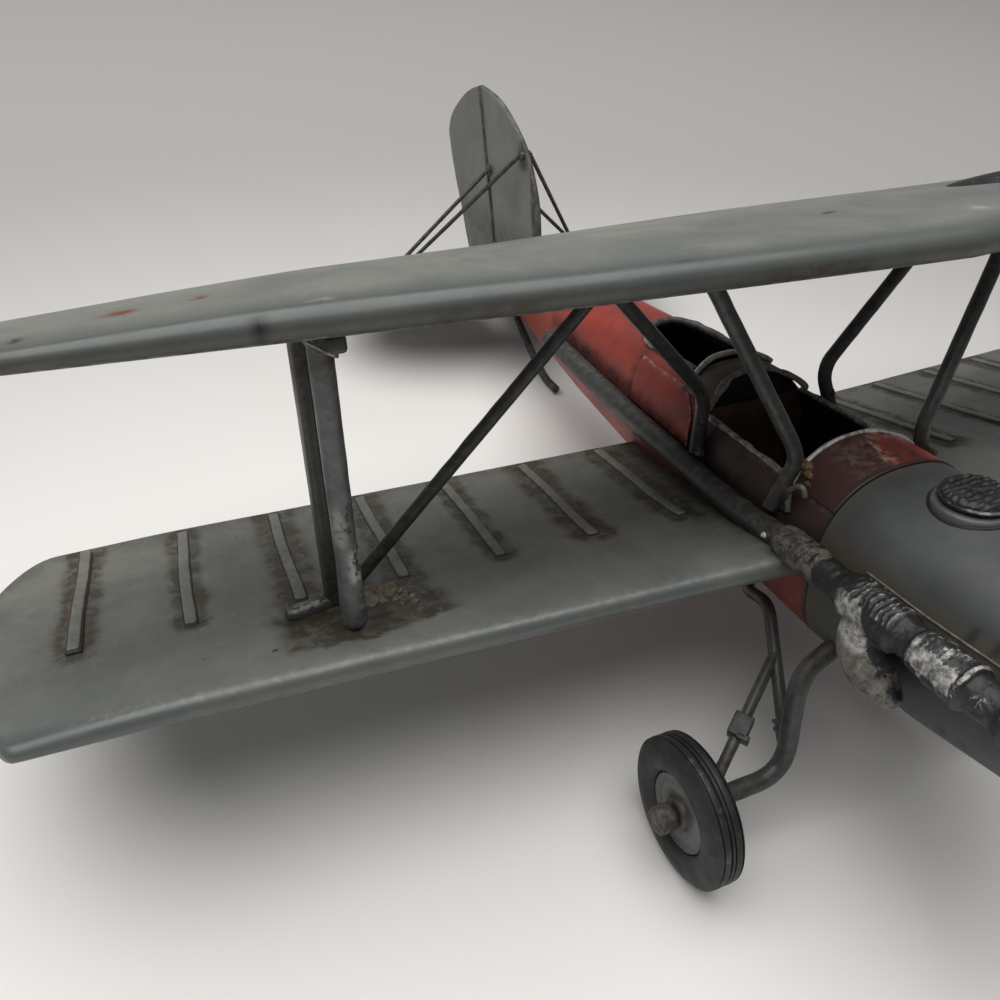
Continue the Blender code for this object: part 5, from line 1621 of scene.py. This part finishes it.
def make_propeller():
    place = BODY @ shift(0, PROP_Y, PROP_Z)
    forward = place @ FORWARD
    levels = smooth_points([(0.0, 8.0), (0.13, 8.0), (0.3, 10.5), (0.5, 12.5), (0.7, 12.0), (0.87, 9.5),
                            (0.96, 6.0), (1.0, 2.5)])
    turns = [2 * math.pi * i / 32 for i in range(32)]
    rings = []
    for sign, order in ((-1, levels[:0:-1]), (1, levels)):
        for level, chord in order:
            pitch = sign * math.radians(52 - 34 * level) * smooth_step(level, 0.02, 0.12)
            thick = 4.2 - 2.6 * level
            ring = []
            for angle in turns:
                flat = Vector((chord / 2 * math.cos(angle), thick / 2 * math.sin(angle), 0))
                x, y, _ = Matrix.Rotation(pitch, 3, "Z") @ flat
                ring.append((x, y, sign * level * PROP_RADIUS))
            rings.append(ring)
    bm = bmesh.new()
    bm.from_mesh(loft("blades", rings, place))
    boss = [(0, 4.0), (7.0, 4.0), (7.5, 3.6), (7.5, -3.6), (7.0, -4.0), (0, -4.0)]
    boss = turned(rounded_path(boss, 0.3, 3), forward, 64)
    piece("propeller_blades", joined([bm, boss], "propeller_blades"), DARK, "propeller", ["propeller"],
          marks={"wear_and_highlight": lambda p: 0.3 + 0.6 * smooth_step((p - HUB).length / MM, 48, 57), "grime_and_shade": 0.25})
    cone = smooth_points([(0.0, 16.4), (2.2, 15.9), (4.6, 13.6), (6.4, 9.8), (7.2, 5.8), (7.3, 4.5)])
    turned_piece("spinner_cone", cone + [(0, 4.5)], forward, BLACK, "propeller", ["spinner"], steps=64,
                 wobble=0.08, marks={"silver": 0.75})
    shaft = rounded_path([(0, -4.3), (2.0, -4.3), (2.0, -20), (0, -20)], 0.2, 3)
    turned_piece("propeller_shaft_bar", shaft, forward, SOLDER, "propeller", ["propeller_shaft"], steps=40)


def make_wing_tank():
    """The black tank, cut off where it meets the top of the upper wing."""
    bm = bmesh.new()
    bmesh.ops.create_uvsphere(bm, u_segments=96, v_segments=48, radius=1.0)
    bmesh.ops.scale(bm, verts=bm.verts, vec=Vector(TANK_SIZE) * MM)
    bm.transform(WING @ shift(*TANK_CENTRE))
    rings = []
    for i in range(41):
        x = TANK_CENTRE[0] - 56 + 2.8 * i
        rings.append([(x, y, z - 0.2) for y, z in upper_section(x)])
    mesh = cut_away(mesh_from(bm, "wing_tank_shell"), [loft("wing_block", rings, WING)])
    bm = bmesh.new()
    bm.from_mesh(mesh)
    far = [face for face in bm.faces if in_wing(face.calc_center_median()).z < UPPER_BOTTOM_Z + 0.5]
    bmesh.ops.delete(bm, geom=far, context="FACES")
    mesh.materials.clear()
    piece("wing_tank_shell", mesh_from(bm, "wing_tank_shell"), BLACK, stands_for=["wing_tank"],
          marks={"silver": lambda p: 0.12 + 0.3 * rough(p, 14, 4)})


# Studio

def make_stage():
    bm = bmesh.new()
    bmesh.ops.create_grid(bm, x_segments=1, y_segments=1, size=FLOOR_HALF)
    floor = linked("floor", mesh_from(bm, "floor"))
    cloth = Paint("pale_cloth")
    tone = cloth.mix(cloth.span(cloth.noise(260, 3), 0.3, 0.7), (0.83, 0.815, 0.795), (0.87, 0.86, 0.84))
    # Painted falloff of light: the cloth darkens away from LIT_PLACE.
    away = cloth.node("ShaderNodeVectorMath", {0: cloth.coords, 1: LIT_PLACE}, operation="DISTANCE")
    tone = cloth.mix(cloth.span(away.outputs["Value"], 0.1, 0.62), tone, (0.38, 0.37, 0.36))
    weave = cloth.bump(cloth.noise(1.2, 3), 0.1, 0.2)
    floor.data.materials.append(cloth.finish(tone, 0.9, weave))
    world = bpy.data.worlds.new("studio")
    world.use_nodes = True
    background = world.node_tree.nodes["Background"]
    background.inputs["Color"].default_value = (0.93, 0.95, 1.0, 1.0)
    background.inputs["Strength"].default_value = 0.16
    bpy.context.scene.world = world
    bpy.context.scene.view_settings.view_transform = "Standard"
    for name, place, size, power, colour in LAMPS:
        lamp = bpy.data.lights.new(name, "AREA")
        lamp.shape = "DISK"
        lamp.size = size
        lamp.energy = power
        lamp.color = colour
        thing = linked(name, lamp)
        thing.location = place
        thing.rotation_euler = (-Vector(place)).to_track_quat("-Z", "Y").to_euler()


def make_camera():
    cy, sy = math.cos(CAMERA_YAW), math.sin(CAMERA_YAW)
    cp, sp = math.cos(CAMERA_PITCH), math.sin(CAMERA_PITCH)
    cr, sr = math.cos(CAMERA_ROLL), math.sin(CAMERA_ROLL)
    ahead = Vector((sy * cp, cy * cp, -sp))
    level = Vector((cy, -sy, 0))
    above = level.cross(ahead)
    right = level * cr + above * sr
    up = above * cr - level * sr
    turn = Matrix((right, up, -ahead)).transposed()
    camera = bpy.data.cameras.new("camera")
    camera.sensor_width = SENSOR
    camera.lens = CAMERA_FOCAL / FRAME_WIDTH * SENSOR
    camera.clip_start = 0.01
    camera.clip_end = 20
    thing = linked("camera", camera)
    thing.matrix_world = Matrix.Translation(wing_point(*CAMERA_PLACE)) @ (WING.to_3x3() @ turn).to_4x4()
    bpy.context.scene.camera = thing


make_camera()
make_stage()
make_fuselage()
make_cowling()
make_cockpit_trim()
make_filler_cap()
make_upper_wing()
make_wing_tank()
for side_name in SIDES:
    make_lower_wing(side_name)
    make_interplane(side_name)
    make_cabane(side_name)
    make_exhaust(side_name)
    make_gear(side_name)
    make_wheel(side_name)
make_skid()
make_tail()
make_propeller()
